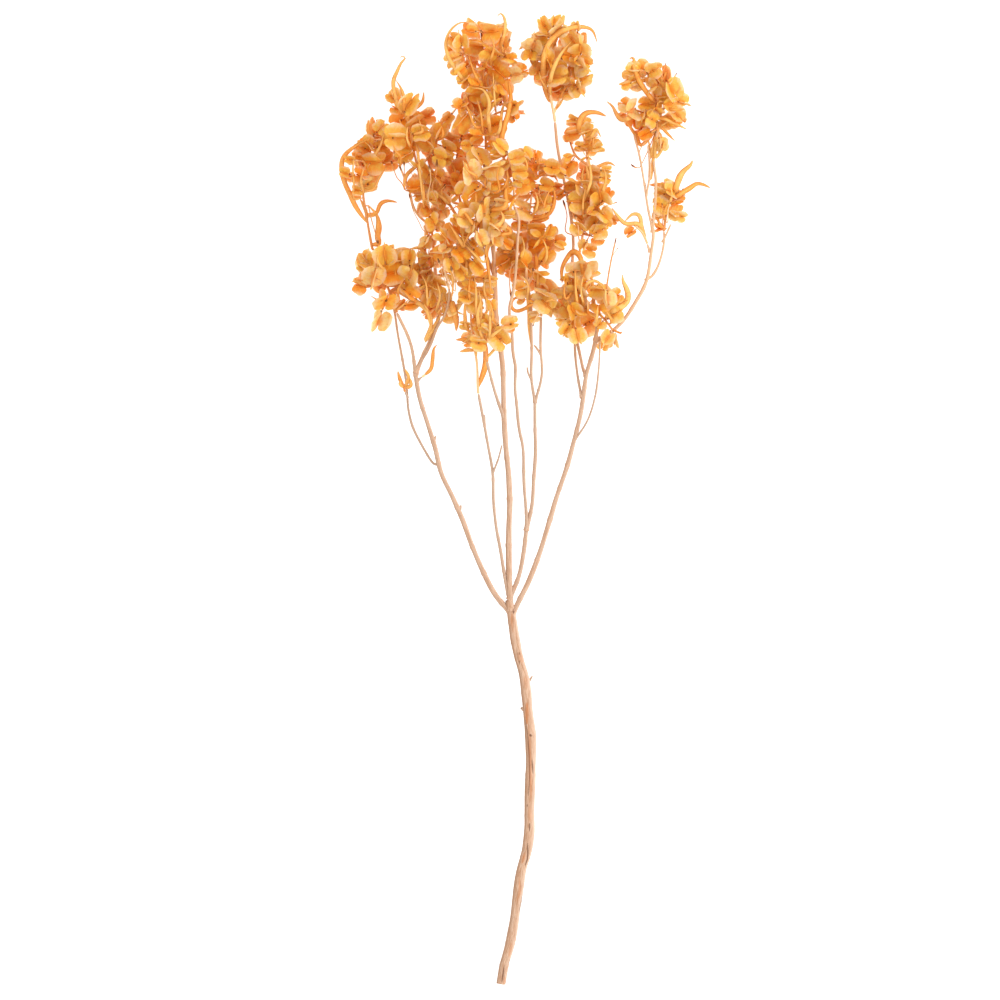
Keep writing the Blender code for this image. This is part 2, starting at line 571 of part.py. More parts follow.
def blade(points, width, roll):
    """Vertices and faces of a thin arched leaf along a line of points, with a short petiole."""
    along = shares(points)
    directions = tangents(points)
    count = len(points) - 1
    places, faces = [], []
    for i in range(count):
        share = max(along[i], 0.02)
        half = max(0.5 * width * math.sin(math.pi * share ** 0.8) ** 0.7, 0.55)
        side = unit(np.cross(directions[i], (0.0, 0.05, 1.0)))
        angle = roll * along[i]
        up = np.cross(side, directions[i])
        side, up = (side * math.cos(angle) + up * math.sin(angle),
                    up * math.cos(angle) - side * math.sin(angle))
        edge = points[i] + up * LEAF_CUP * half
        places += [edge - side * half, points[i] + up * LEAF_THICKNESS / 2,
                   edge + side * half, points[i] - up * LEAF_THICKNESS / 2]
        if i:
            first, second = 4 * (i - 1), 4 * i
            for k in range(4):
                a, b = first + k, first + (k + 1) % 4
                c, d = second + (k + 1) % 4, second + k
                faces += [(a, b, c), (a, c, d)] if k % 2 else [(a, b, d), (b, c, d)]
    faces.append((3, 2, 1, 0))
    tip = len(places)
    places.append(points[-1])
    last = 4 * (count - 1)
    faces += [(last + k, last + (k + 1) % 4, tip) for k in range(4)]
    return places, faces


def piece(name, shape):
    """A mesh object from vertices in millimetres and faces."""
    places, faces = shape
    mesh = bpy.data.meshes.new(name)
    mesh.from_pydata([Vector(place) * 0.001 for place in places], [], faces)
    mesh.validate()
    made = bpy.data.objects.new(name, mesh)
    bpy.context.scene.collection.objects.link(made)
    return made


def join(name, shapes, material):
    """One closed solid from crossing shapes, by one union on their collection."""
    body = piece(name, shapes[0])
    others = bpy.data.collections.new(name + "_pieces")
    bpy.context.scene.collection.children.link(others)
    for i, shape in enumerate(shapes[1:]):
        part = piece(f"{name}_piece_{i}", shape)
        bpy.context.scene.collection.objects.unlink(part)
        others.objects.link(part)
    union = body.modifiers.new("union", "BOOLEAN")
    union.operation = "UNION"
    union.operand_type = "COLLECTION"
    union.collection = others
    union.solver = "EXACT"
    graph = bpy.context.evaluated_depsgraph_get()
    joined = bpy.data.meshes.new_from_object(body.evaluated_get(graph))
    body.modifiers.remove(union)
    body.data = joined
    for part in list(others.objects):
        bpy.data.objects.remove(part)
    bpy.data.collections.remove(others)
    body.data.materials.clear()
    body.data.materials.append(material)
    return body


def material(name, colour, roughness):
    """A plain Principled material."""
    made = bpy.data.materials.new(name)
    made.use_nodes = True
    shader = made.node_tree.nodes["Principled BSDF"]
    shader.inputs["Base Color"].default_value = (*colour, 1.0)
    shader.inputs["Roughness"].default_value = roughness
    shader.inputs["Metallic"].default_value = 0.0
    return made


def grow_branch(room):
    """The woody branch's shapes, and the line of each of its twigs."""
    flat = np.array([plan(point, 0.0) for point in STEM])
    flat[:, 2] = STEM_CUT_HEIGHT + (STEM_FORK_HEIGHT - STEM_CUT_HEIGHT) * shares(flat)
    line = smooth(flat, STEM_STEP)
    radii = np.interp(shares(line), shares(flat), [point[2] for point in STEM])
    lines = {"stem": fill(line)}
    shapes = [tube(line, radii, STEM_SIDES)]
    room.take("branch", line, radii)
    for name, twig in TWIGS.items():
        parent = lines[twig.parent]
        start = parent[nearest(parent, plan(twig.route[0], 0.0))]
        route = raise_route(twig.route, start[2])
        route[0] = start
        line = smooth(route, TWIG_STEP)
        radii = np.interp(shares(line), (0, 1), (twig.base_radius, twig.tip_radius))
        lines[name] = fill(line)
        shapes.append(tube(line, radii, twig.sides))
        room.take("branch", line, radii)
    return shapes, lines


def grow_stalks(name, spray, seat, room):
    """A spray's stalks: their shapes, and the points in one array that repeats may grow from."""
    outward = unit(seat[-1] - seat[-2])
    foot = seat[-1] + outward * SEAT_GAP
    lines, shapes = [], []
    for route in spray.stalks:
        if not lines:
            rest = raise_route(route, spray.height)
            rest[:, 2] = np.interp(shares(np.vstack((foot, rest)))[1:], (0, 0.5, 1),
                                   (foot[2], spray.height, spray.height))
            for i, point in enumerate(route):
                if len(point) == 3:
                    rest[i, 2] = point[2]
            places = np.vstack((foot + outward * SEAT_LENGTH, rest))
        else:
            grown = np.vstack(lines)
            start = grown[nearest(grown, plan(route[0], 0.0))]
            level = route if len(route[-1]) == 3 else route[:-1] + ((*route[-1], spray.height),)
            places = raise_route(level, start[2])
            places[0] = start
        line = smooth(places, STALK_STEP)
        if not lines:
            line = np.vstack((foot, line))
        radii = np.interp(shares(line), (0, 1), (SPRAY_STALK_BASE, SPRAY_STALK_TIP))
        lines.append(fill(line)[:-1])
        shapes.append(tube(line, radii, STALK_SIDES))
        room.take(name, line, radii)
    return shapes, np.vstack(lines)[SEAT_POINTS:]


def lay_leaf(name, leaf, stalk_points, room):
    """A traced leaf, from the nearest stalk, a little above it at the tip."""
    width, route = leaf
    start = stalk_points[nearest(stalk_points, plan(route[0], 0.0))]
    places = raise_route(route, start[2])
    places[:, 2] += LEAF_RISE * shares(places)
    places[0] = start
    line = smooth(places, LEAF_STEP)
    room.take(name, line, width * 0.6)
    return blade(line, width, LEAF_ROLL)


def fit_capsule(name, spray, place, radius, stalk_points, room, draw):
    """The roomiest of some tries at a capsule at a place, or None where each is in the way."""
    best, best_gap = None, -CROWDING * radius
    half = 0.5 * CAPSULE_LENGTH * radius / CAPSULE_RADIUS
    for attempt in range(CAPSULE_TRIES):
        spot = plan(place, spray.height)
        shift = 1.0 + 0.04 * attempt
        spot[:2] += (draw.uniform(-shift, shift), draw.uniform(-shift, shift))
        away = np.linalg.norm(stalk_points[:, :2] - spot[:2], axis=1).min()
        reach = math.sqrt(max(spray.depth ** 2 - away ** 2, 4.0))
        spot[2] += draw.choice((-1, 1)) * draw.uniform(0.45, 1.0) * reach
        root = stalk_points[np.argmin(np.linalg.norm(stalk_points - spot, axis=1))]
        root = root + [draw.uniform(-ROOT_SHIFT, ROOT_SHIFT) for _ in range(3)]
        if np.linalg.norm(spot - root) < half + 2 * STALK_RADIUS:
            spot = root + unit((spot - root) * CAPSULE_LEVEL) * half
        shape = capsule(root, spot, radius, draw.choice((0.0, math.pi)) + draw.gauss(0.0, WING_ROLL))
        if min(point[2] for point in shape[0]) < TABLE_GAP:
            continue
        if room.clearance(name, [spot], radius) < NODE_GAP:
            continue
        if room.clearance(name, np.linspace(root, spot, 5)[1:], STALK_RADIUS) < NODE_GAP:
            continue
        gap = room.clearance(name, [spot], radius, same=True)
        if gap > best_gap:
            best, best_gap = (shape, root, spot), gap
    return best


def rest_capsule(place, stalk_points):
    """A capsule under its stalk with one wing down, dipping a little under the table."""
    spot = plan(place, CAPSULE_RADIUS)
    root = stalk_points[nearest(stalk_points, spot + (0.0, -10.0, 0.0))]
    for _ in range(REST_TRIES):
        shape = capsule(root, spot, CAPSULE_RADIUS, math.pi)
        spot[2] -= min(point[2] for point in shape[0]) + TABLE_DIP
    return shape, root, spot


def place_capsules(name, spray, stalk_points, room, draw):
    """A capsule at each place, smaller where its neighbours leave it less room."""
    shapes = []
    for place in spray.resting:
        shape, root, spot = rest_capsule(place, stalk_points)
        shapes.append(shape)
        room.take(name, np.array((spot, spot)), CAPSULE_RADIUS)
        room.take(name, np.array((root, spot)), STALK_RADIUS)
    for place in spray.places:
        wanted = place[2] if len(place) == 3 else CAPSULE_RADIUS
        for radius in [wanted] + [less for less in (SMALL, TINY) if less < wanted]:
            fitted = fit_capsule(name, spray, place, radius, stalk_points, room, draw)
            if fitted:
                shape, root, spot = fitted
                shapes.append(shape)
                room.take(name, np.array((spot, spot)), radius)
                room.take(name, np.array((root, spot)), STALK_RADIUS)
                break
    return shapes


def place_loose_leaves(name, spray, stalk_points, room, draw):
    """Short curled leaves among the capsules."""
    shapes = []
    for _ in range(spray.loose_leaves):
        for _ in range(LEAF_TRIES):
            target = plan(draw.choice(spray.places), spray.height)
            target += (draw.uniform(-6, 6), draw.uniform(-6, 6), draw.uniform(-0.9, 0.9) * spray.depth)
            start = stalk_points[nearest(stalk_points, target + (0.0, -12.0, 0.0))]
            bend = np.array((draw.uniform(-3, 3), draw.uniform(-3, 3), draw.uniform(0, 3)))
            line = smooth((start, (start + target) / 2 + bend, target), LEAF_STEP / 2)
            width = draw.uniform(*LOOSE_LEAF_WIDTHS)
            long_enough = np.linalg.norm(target - start) > LOOSE_LEAF_LENGTH
            off_table = line[:, 2].min() > width / 2 + TABLE_GAP
            if long_enough and off_table and room.clearance(name, fill(line), width) > NODE_GAP:
                shapes.append(blade(line, width, draw.uniform(-LOOSE_LEAF_ROLL, LOOSE_LEAF_ROLL)))
                room.take(name, line, width * 0.6)
                break
    return shapes


def keep_largest_shell(shape):
    """Deletes loose scraps, and the walls of hollows that the union sealed."""
    waiting, shells = set(shape.verts), []
    while waiting:
        shell, front = set(), [waiting.pop()]
        while front:
            vertex = front.pop()
            shell.add(vertex)
            for edge in vertex.link_edges:
                other = edge.other_vert(vertex)
                if other in waiting:
                    waiting.remove(other)
                    front.append(other)
        shells.append(shell)
    shells.sort(key=len)
    for shell in shells[:-1]:
        bmesh.ops.delete(shape, geom=list(shell), context="VERTS")


def trim_to_table(body):
    """Cuts off what dips under the table, which leaves the flat spots that the branch lies on."""
    shape = bmesh.new()
    shape.from_mesh(body.data)
    keep_largest_shell(shape)
    cut = bmesh.ops.bisect_plane(shape, geom=shape.verts[:] + shape.edges[:] + shape.faces[:],
                                 plane_co=(0, 0, 0), plane_no=(0, 0, 1), clear_inner=True)
    rim = [item for item in cut["geom_cut"] if isinstance(item, bmesh.types.BMEdge)]
    if rim:
        bmesh.ops.edgeloop_fill(shape, edges=rim)
    shape.to_mesh(body.data)
    shape.free()


def build():
    """The whole branch."""
    for old in list(bpy.data.objects):
        bpy.data.objects.remove(old)
    wood = material("bleached_wood", (0.82, 0.55, 0.34), 0.75)
    papery = material("dyed_papery_capsules", (0.86, 0.38, 0.08), 0.7)
    room = Room()
    shapes, lines = grow_branch(room)
    trim_to_table(join("woody_branch", shapes, wood))
    grown = {}
    for name, spray in SPRAYS.items():
        stalks, points = grow_stalks(name, spray, lines[spray.seat], room)
        grown[name] = (stalks, points)
    leaves = {name: [lay_leaf(name, leaf, grown[name][1], room) for leaf in spray.leaves]
              for name, spray in SPRAYS.items()}
    for number, (name, spray) in enumerate(SPRAYS.items()):
        stalks, points = grown[name]
        draw = random.Random(4200 + number)
        shapes = stalks + leaves[name]
        shapes += place_capsules(name, spray, points, room, draw)
        shapes += place_loose_leaves(name, spray, points, room, draw)
        trim_to_table(join(name, shapes, papery))


build()
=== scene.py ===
# %% [markdown]
# # A dyed hop-bush branch with papery seed capsules
#
# The real thing is one dried, dyed branch that lies on a table: a bare, bleached stem that forks
# into thin arms, and on each arm a dense head of papery capsules with three round wings. The
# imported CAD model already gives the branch's size and the place of every twig and capsule. This
# notebook keeps that frame and replaces each coarse solid by a finer piece of the same form.

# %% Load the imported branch
import json
import math
import random
from dataclasses import dataclass

import bpy
import numpy as np
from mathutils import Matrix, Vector

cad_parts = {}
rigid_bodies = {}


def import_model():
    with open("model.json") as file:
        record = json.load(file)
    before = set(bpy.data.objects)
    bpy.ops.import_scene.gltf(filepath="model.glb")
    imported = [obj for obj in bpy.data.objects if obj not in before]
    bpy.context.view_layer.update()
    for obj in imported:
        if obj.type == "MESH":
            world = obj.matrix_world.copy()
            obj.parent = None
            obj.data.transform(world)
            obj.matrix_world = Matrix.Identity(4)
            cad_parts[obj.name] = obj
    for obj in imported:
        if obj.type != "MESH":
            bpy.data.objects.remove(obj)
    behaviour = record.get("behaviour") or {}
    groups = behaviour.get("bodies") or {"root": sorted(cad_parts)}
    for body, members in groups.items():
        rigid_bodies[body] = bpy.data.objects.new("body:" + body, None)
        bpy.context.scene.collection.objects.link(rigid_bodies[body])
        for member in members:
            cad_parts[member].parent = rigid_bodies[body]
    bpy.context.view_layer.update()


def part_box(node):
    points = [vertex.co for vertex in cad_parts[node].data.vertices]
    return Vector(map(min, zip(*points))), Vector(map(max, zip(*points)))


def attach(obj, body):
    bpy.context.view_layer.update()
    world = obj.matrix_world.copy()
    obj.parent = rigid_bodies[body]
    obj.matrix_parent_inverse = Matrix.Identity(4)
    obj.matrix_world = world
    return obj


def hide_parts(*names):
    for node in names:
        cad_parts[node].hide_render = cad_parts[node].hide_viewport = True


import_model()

# %% [markdown]
# ## Camera and light
#
# The photograph looks straight down on the branch from far away, so near and far capsules have
# the same scale. A long lens twelve metres up gives that. The photograph's pixels are also the
# easiest ruler for a thing that grew freely: one pixel is 0.72 mm, and a pixel becomes a place
# on the table by one subtraction and one product.

# %% A long lens straight above the branch
MM = 0.001
PIXEL = 0.72  # millimetres in one pixel of the plan
PLAN_MIDDLE = (524.9, 500.6)  # the pixel of the plan that is the frame's origin
PICTURE_PIXELS = 1000
CAMERA_HEIGHT = 12000.0
FOCUS_HEIGHT = 32.0  # the height at which a pixel is PIXEL wide
SENSOR = 36.0


def plan(point, height):
    """A plan pixel and a height, as a place in millimetres."""
    return np.array(((point[0] - PLAN_MIDDLE[0]) * PIXEL,
                     (PLAN_MIDDLE[1] - point[1]) * PIXEL,
                     height))


lens = bpy.data.cameras.new("long_lens")
lens.sensor_width = SENSOR
lens.lens = SENSOR * (CAMERA_HEIGHT - FOCUS_HEIGHT) / (PICTURE_PIXELS * PIXEL)
camera = bpy.data.objects.new("camera_above", lens)
camera.location = plan((PICTURE_PIXELS / 2, PICTURE_PIXELS / 2), CAMERA_HEIGHT) * MM
bpy.context.scene.collection.objects.link(camera)
bpy.context.scene.camera = camera
print("lens in mm:", round(lens.lens, 1))

# %% [markdown]
# Papery wings look alive when light passes through them, so the branch lies on a light table:
# its pale top glows a little and sends light up through the wings. The white room lights the
# branch from everywhere, one broad lamp on the right gives the stem its pale side, and a weak one
# fills the heads.

# %% A white room, two lamps and a light table
scene = bpy.context.scene
scene.view_settings.view_transform = "Standard"
WHITE = (1.0, 1.0, 1.0, 1.0)
ROOM_LIGHT = 0.98
TABLE_GLOW = 0.92
FLOOR_WIDTH = 14.0
HEADS_MIDDLE = Vector((0.0, 0.1, 0.0))


def set_sockets(node, values):
    """Sets input sockets of a node to constant values, by their names."""
    for name, value in values.items():
        node.inputs[name].default_value = value


room_light = bpy.data.worlds.new("white_room")
room_light.use_nodes = True
set_sockets(room_light.node_tree.nodes["Background"], {"Color": WHITE, "Strength": ROOM_LIGHT})
scene.world = room_light


def add_lamp(name, place, width, power):
    """A square lamp at a place in metres, turned to the middle of the heads."""
    lamp = bpy.data.lights.new(name, "AREA")
    lamp.shape = "SQUARE"
    lamp.size = width
    lamp.energy = power
    holder = bpy.data.objects.new(name, lamp)
    holder.location = place
    aim = HEADS_MIDDLE - holder.location
    holder.rotation_euler = aim.to_track_quat("-Z", "Y").to_euler()
    scene.collection.objects.link(holder)


add_lamp("key_on_the_right", place=(1.5, 0.5, 1.3), width=1.0, power=19.0)
add_lamp("fill_at_the_heads", place=(-0.6, 1.6, 1.6), width=1.4, power=6.0)


def make_object(name, places, edges=(), faces=()):
    """A mesh object from places in millimetres."""
    mesh = bpy.data.meshes.new(name)
    mesh.from_pydata([tuple(float(v) * MM for v in place) for place in places], edges, faces)
    made = bpy.data.objects.new(name, mesh)
    scene.collection.objects.link(made)
    return made


half_floor = FLOOR_WIDTH / 2 / MM
floor_corners = [(x * half_floor, y * half_floor, 0) for x, y in ((-1, -1), (1, -1), (1, 1), (-1, 1))]
floor = make_object("pale_floor", floor_corners, faces=[(0, 1, 2, 3)])
table_top = bpy.data.materials.new("pale_light_table")
table_top.use_nodes = True
set_sockets(table_top.node_tree.nodes["Principled BSDF"], {
    "Base Color": (0.5, 0.5, 0.5, 1.0), "Roughness": 0.9,
    "Emission Color": WHITE, "Emission Strength": TABLE_GLOW})
floor.data.materials.append(table_top)
print("lamps and light table are in")

# %% [markdown]
# ## The plan of the branch
#
# These tables hold the same values as the CAD source's. They trace the branch in plan, in pixels of
# the photograph, and give heights, radii and lengths in millimetres. With the same values, the same
# curves and the same seeds, each fine piece lands on the solid that it replaces or close to it.

# %% Sizes of the pieces
STEM_FORK_HEIGHT = 26.0
STEM_CUT_HEIGHT = 2.8
CAPSULE_RADIUS = 10.0  # from the axis to a wing's edge
CAPSULE_LENGTH = 17.0
CAPSULE_LEVEL = np.array((1.0, 1.0, 0.35))  # a capsule lies flatter than the stalk it hangs from
WING_LOW = (0.18, 0.82)  # where the solid's wing has its corners: share of length, of radius
WING_HIGH = (0.70, 1.0)
WING_TWIST = 0.2
WING_ROLL = 0.4
NEARLY_UP = (0.21, 0.13, 0.97)  # a capsule's side is square to this and to its axis
CROWDING = 0.55  # how deep a capsule may press into the others, in its own radii
FIRST_SHIFT = 1.0  # how far from its place a capsule is tried first
MORE_SHIFT = 0.04  # and how much further each time
LEAST_REACH = 2.0
OUTER_SHARES = (0.45, 1.0)  # how far over or under the stalks a capsule lies, as shares of its reach
STALK_CHECKS = 5
REST_BACK = 10.0  # how far towards the cut end a resting capsule looks for a stalk
STALK_RADIUS = 0.65
SPRAY_STALK_BASE = 1.0
SPRAY_STALK_TIP = 0.75
LEAF_RISE = 7.0
LEAF_ROLL = math.radians(25)
LOOSE_LEAF_WIDTHS = (3.0, 4.4)
LOOSE_LEAF_LENGTH = 9.0
LOOSE_LEAF_ROLL = 0.8
LOOSE_LEAF_BACK = 12.0
LEAF_ROOM = 0.6  # the radius of the room round a leaf, as a share of its width
SEAT_GAP = 0.35
SEAT_LENGTH = 1.5
NODE_GAP = 0.45
TABLE_DIP = 0.9
TABLE_GAP = 2.0
STEM_STEP = 14.0
TWIG_STEP = 20.0
STALK_STEP = 20.0
LEAF_STEP = 12.0
FINE_STEP = 2.0
SEAT_POINTS = 1
ROOT_SHIFT = 0.1
CAPSULE_TRIES = 60
LEAF_TRIES = 12
REST_TRIES = 5
CAPSULE_SEED = 4200
BACK = np.array((0.0, -1.0, 0.0))  # towards the cut end
SMALL = 7.6  # the wing radius of a small capsule
TINY = 5.0
STEM_SIDES = 48  # round the stem, the arms and the twigs
LIMB_SIDES = 16
TWIG_SIDES = 10

# %% Read traced places and lines from short texts
def read_places(text):
    """Places as tuples of numbers, from a text such as "x,y x,y,third"."""
    return tuple(tuple(float(v) for v in place.split(",")) for place in text.split())


def read_lines(text):
    """Lines with a slash between them. The first word of each is its width, and the rest its route."""
    lines = [read_places(line) for line in text.split("/") if line]
    return tuple((*line[0], line[1:]) for line in lines)


print("two places:", read_places("501,985,3.2 504,967"))

# %% The bare stem, from its cut end to its fork: plan x, plan y, radius
STEM = read_places("""
    501,985,3.2 504,967,3.6 506,960,3.35 512,936,3.45 516.5,905,3.5 521.2,872,3.65 526.7,852,3.75
    529.2,836,3.75 529.5,806,3.75 530.7,770,3.8 530.7,737,4 527.5,708,3.7 525.2,682,3.5 517.3,651,3.35
    511.3,614,3.4 509,600,2.7""")
print("stem points:", len(STEM))

# %% The woody arms and twigs
@dataclass
class Twig:
    """A tapering woody tube. A place on its route is "x,y" or "x,y,height"."""
    parent: str
    base_radius: float
    tip_radius: float
    route: str
    sides: int = TWIG_SIDES

    def __post_init__(self):
        self.route = read_places(self.route)


TWIGS = {
    "left_limb": Twig("stem", 2.0, 1.55, """
    511,613 506,603 498,599 477,558 458,508 449,490 438,464 433,437 424,414 417,386 415,371,30""",
        LIMB_SIDES),
    "left_side_twig": Twig("left_limb", 0.95, 0.8, """
    437,465 432,462 419,440 412,425 408,407 407,391 404,375,20 400,355 395,333,12 392,310,8 386,285,7
    378,262,7 373,250,9"""),
    "left_arm": Twig("left_limb", 1.3, 1.0, "416,376 412,352 409,338 401,322,30 397,313,31"),
    "left_inner_arm": Twig("left_limb", 1.6, 1.2,
        "415,374 426,349 436,328,22 439,305,13 436,280,11 434,256,13"),
    "left_inner_twin": Twig("left_limb", 0.9, 0.8, "417,372 430,346 438,328,27 440,317,29"),
    "left_front_twig": Twig("left_inner_twin", 0.8, 0.7,
        "437,331 446,312,37 450,297,43 446,280,48 444,270,50"),
    "centre_left_twig": Twig("stem", 1.2, 1.0,
        "509,606 505,579 500,547 494,512 493,476 488,445 484,422 479,407 478.5,394,44"),
    "centre_left_sprig": Twig("centre_left_twig", 0.7, 0.7, "493,474 498,460 502,445,46"),
    "centre_limb": Twig("stem", 2.3, 1.4, """
    510,610 509,568 509,525 510,492 509,479 506,448 504,416,40 503,371 501,352,40 496,314,38 494,257,36
    490,225,35 487,190,36 486,160,40 486,150,41""", LIMB_SIDES),
    "centre_side_twig": Twig("centre_limb", 1.2, 1.0, "504,419 496,395 489,374,54 487,362,57"),
    "centre_riser": Twig("centre_limb", 1.2, 1.0, "494,272 494,252,48 494,238,56"),
    "centre_back_twig": Twig("centre_limb", 1.1, 0.9, "494,277 482,245,26 468,218,19 462,206,18"),
    "right_centre_limb": Twig("stem", 1.7, 1.5, "511,600 513.5,588 520,573 525,543 526.5,528,30"),
    "right_centre_left": Twig("right_centre_limb", 1.2, 1.0, """
    526.5,531 526,514 524,482 523,448 519,428 517,402 515,388 516,367 512.5,353,42 513.5,333 515,318,46
    514,290,52 517,262,57 517,240,60 519,222,60 514,207,58"""),
    "right_centre_right": Twig("right_centre_limb", 1.5, 1.2,
        "526.5,531 531,514 533.5,482 535.5,460 535,428 535,400,34"),
    "right_centre_inner": Twig("right_centre_right", 1.1, 0.9,
        "535,403 532,381 531,375 531.5,358 532,343 531,322,34 530,302,33"),
    "right_centre_outer": Twig("right_centre_right", 1.0, 0.9,
        "535,403 538.5,391 542,373 540.5,353 541,330,36 541,317,36"),
    "right_cross_twig": Twig("right_centre_outer", 0.7, 0.7, "540,354 538,350 534,345,35"),
    "right_limb": Twig("stem", 2.0, 1.5, """
    513,615 519,600 528,583 538.5,555 550,518 556,496 566.5,467 574,441 579,417 582,396 585,374 591,354
    596,338,31""", LIMB_SIDES),
    "right_seat_arm": Twig("right_limb", 1.3, 1.1, "595,342 597,330,33 597,320,34"),
    "right_outer_arm": Twig("right_limb", 1.5, 1.1,
        "595,342 611,331 622,320 633,303 645.5,280,26 650,251 653,227,22"),
    "right_side_twig": Twig("right_limb", 0.8, 0.7,
        "576,443 585.5,425 593,404 599,377 597.5,356,36 600,343,38"),
    "right_low_twig": Twig("right_limb", 1.0, 0.9,
        "581,399 577,371 575,348,18 576,325,9 579,290,7 580,265,10 580,252,15"),
    "right_top_twig": Twig("right_limb", 1.2, 1.0, """
    584.5,377 580,353 577,343,19 571,320,8 570,295,7 573,262,12 574,244 572,216,20 564,180,24 558,150,26
    555,122,28"""),
    "far_left_twig": Twig("right_outer_arm", 0.8, 0.7,
        "653,229 648,209 647,192 642,174 640,160 640,146,22 634,134,22"),
    "far_middle_twig": Twig("far_left_twig", 0.7, 0.7, "647,195 650,175 650,158,24 648,145,25"),
    "far_arm": Twig("right_outer_arm", 1.05, 0.9,
        "652,233 656,192 655,164 653,150,21 656,138,21 657,131,21"),
    "far_side_twig": Twig("right_outer_arm", 0.9, 0.8, "647,281 657,265 663,248 665,240,18 664,231,17"),
    "far_fork": Twig("far_side_twig", 0.7, 0.7, "665,242 668,231 671,224,19"),
    "stem_stub": Twig("stem", 1.0, 0.7, "525.5,688 529.5,681 532.5,676"),
    "stem_knot": Twig("stem", 1.5, 1.2, "527,712 523,709 520.5,708"),
    "left_limb_stub": Twig("left_limb", 0.9, 0.8, "459,513 460.5,508 461,505"),
    "left_limb_bud": Twig("left_limb", 0.9, 0.8, "433.5,441 435,438 436,436"),
    "centre_left_stub": Twig("centre_left_twig", 0.9, 0.8, "484,426 484.5,419 484.5,415"),
    "right_inner_stub": Twig("right_centre_inner", 0.7, 0.7, "531.5,379 528,373 527,367"),
    "left_leaf_stub": Twig("left_limb", 0.9, 0.8, "417,381 420,378 422,377,31"),
    "right_leaf_stub": Twig("right_outer_arm", 0.8, 0.7, "650.5,252 648.5,247 647.5,244,24"),
    "tuft_stub": Twig("left_side_twig", 0.8, 0.7, "408,397 406,394,27 405,391.5,29"),
}
print("twigs:", len(TWIGS))

# %% The heads: their stalks, the places of their capsules and their traced leaves
@dataclass
class Spray:
    """A head: its own stalks, the places of its capsules, and the leaves traced on it.

    height is the middle of the head and depth the reach of its capsules above and below it.
    A place is "x,y" or "x,y,wing radius". The first stalk grows on from the seat twig's tip,
    and the others grow from the nearest stalk before them. A capsule at a resting place
    reaches down to the table.
    """
    seat: str
    height: float
    depth: float
    stalks: str
    places: str
    leaves: str
    loose_leaves: int = 0
    resting: str = ""

    def __post_init__(self):
        self.stalks = tuple(read_places(line) for line in self.stalks.split("/"))
        self.places = read_places(self.places)
        self.leaves = read_lines(self.leaves)
        self.resting = read_places(self.resting)


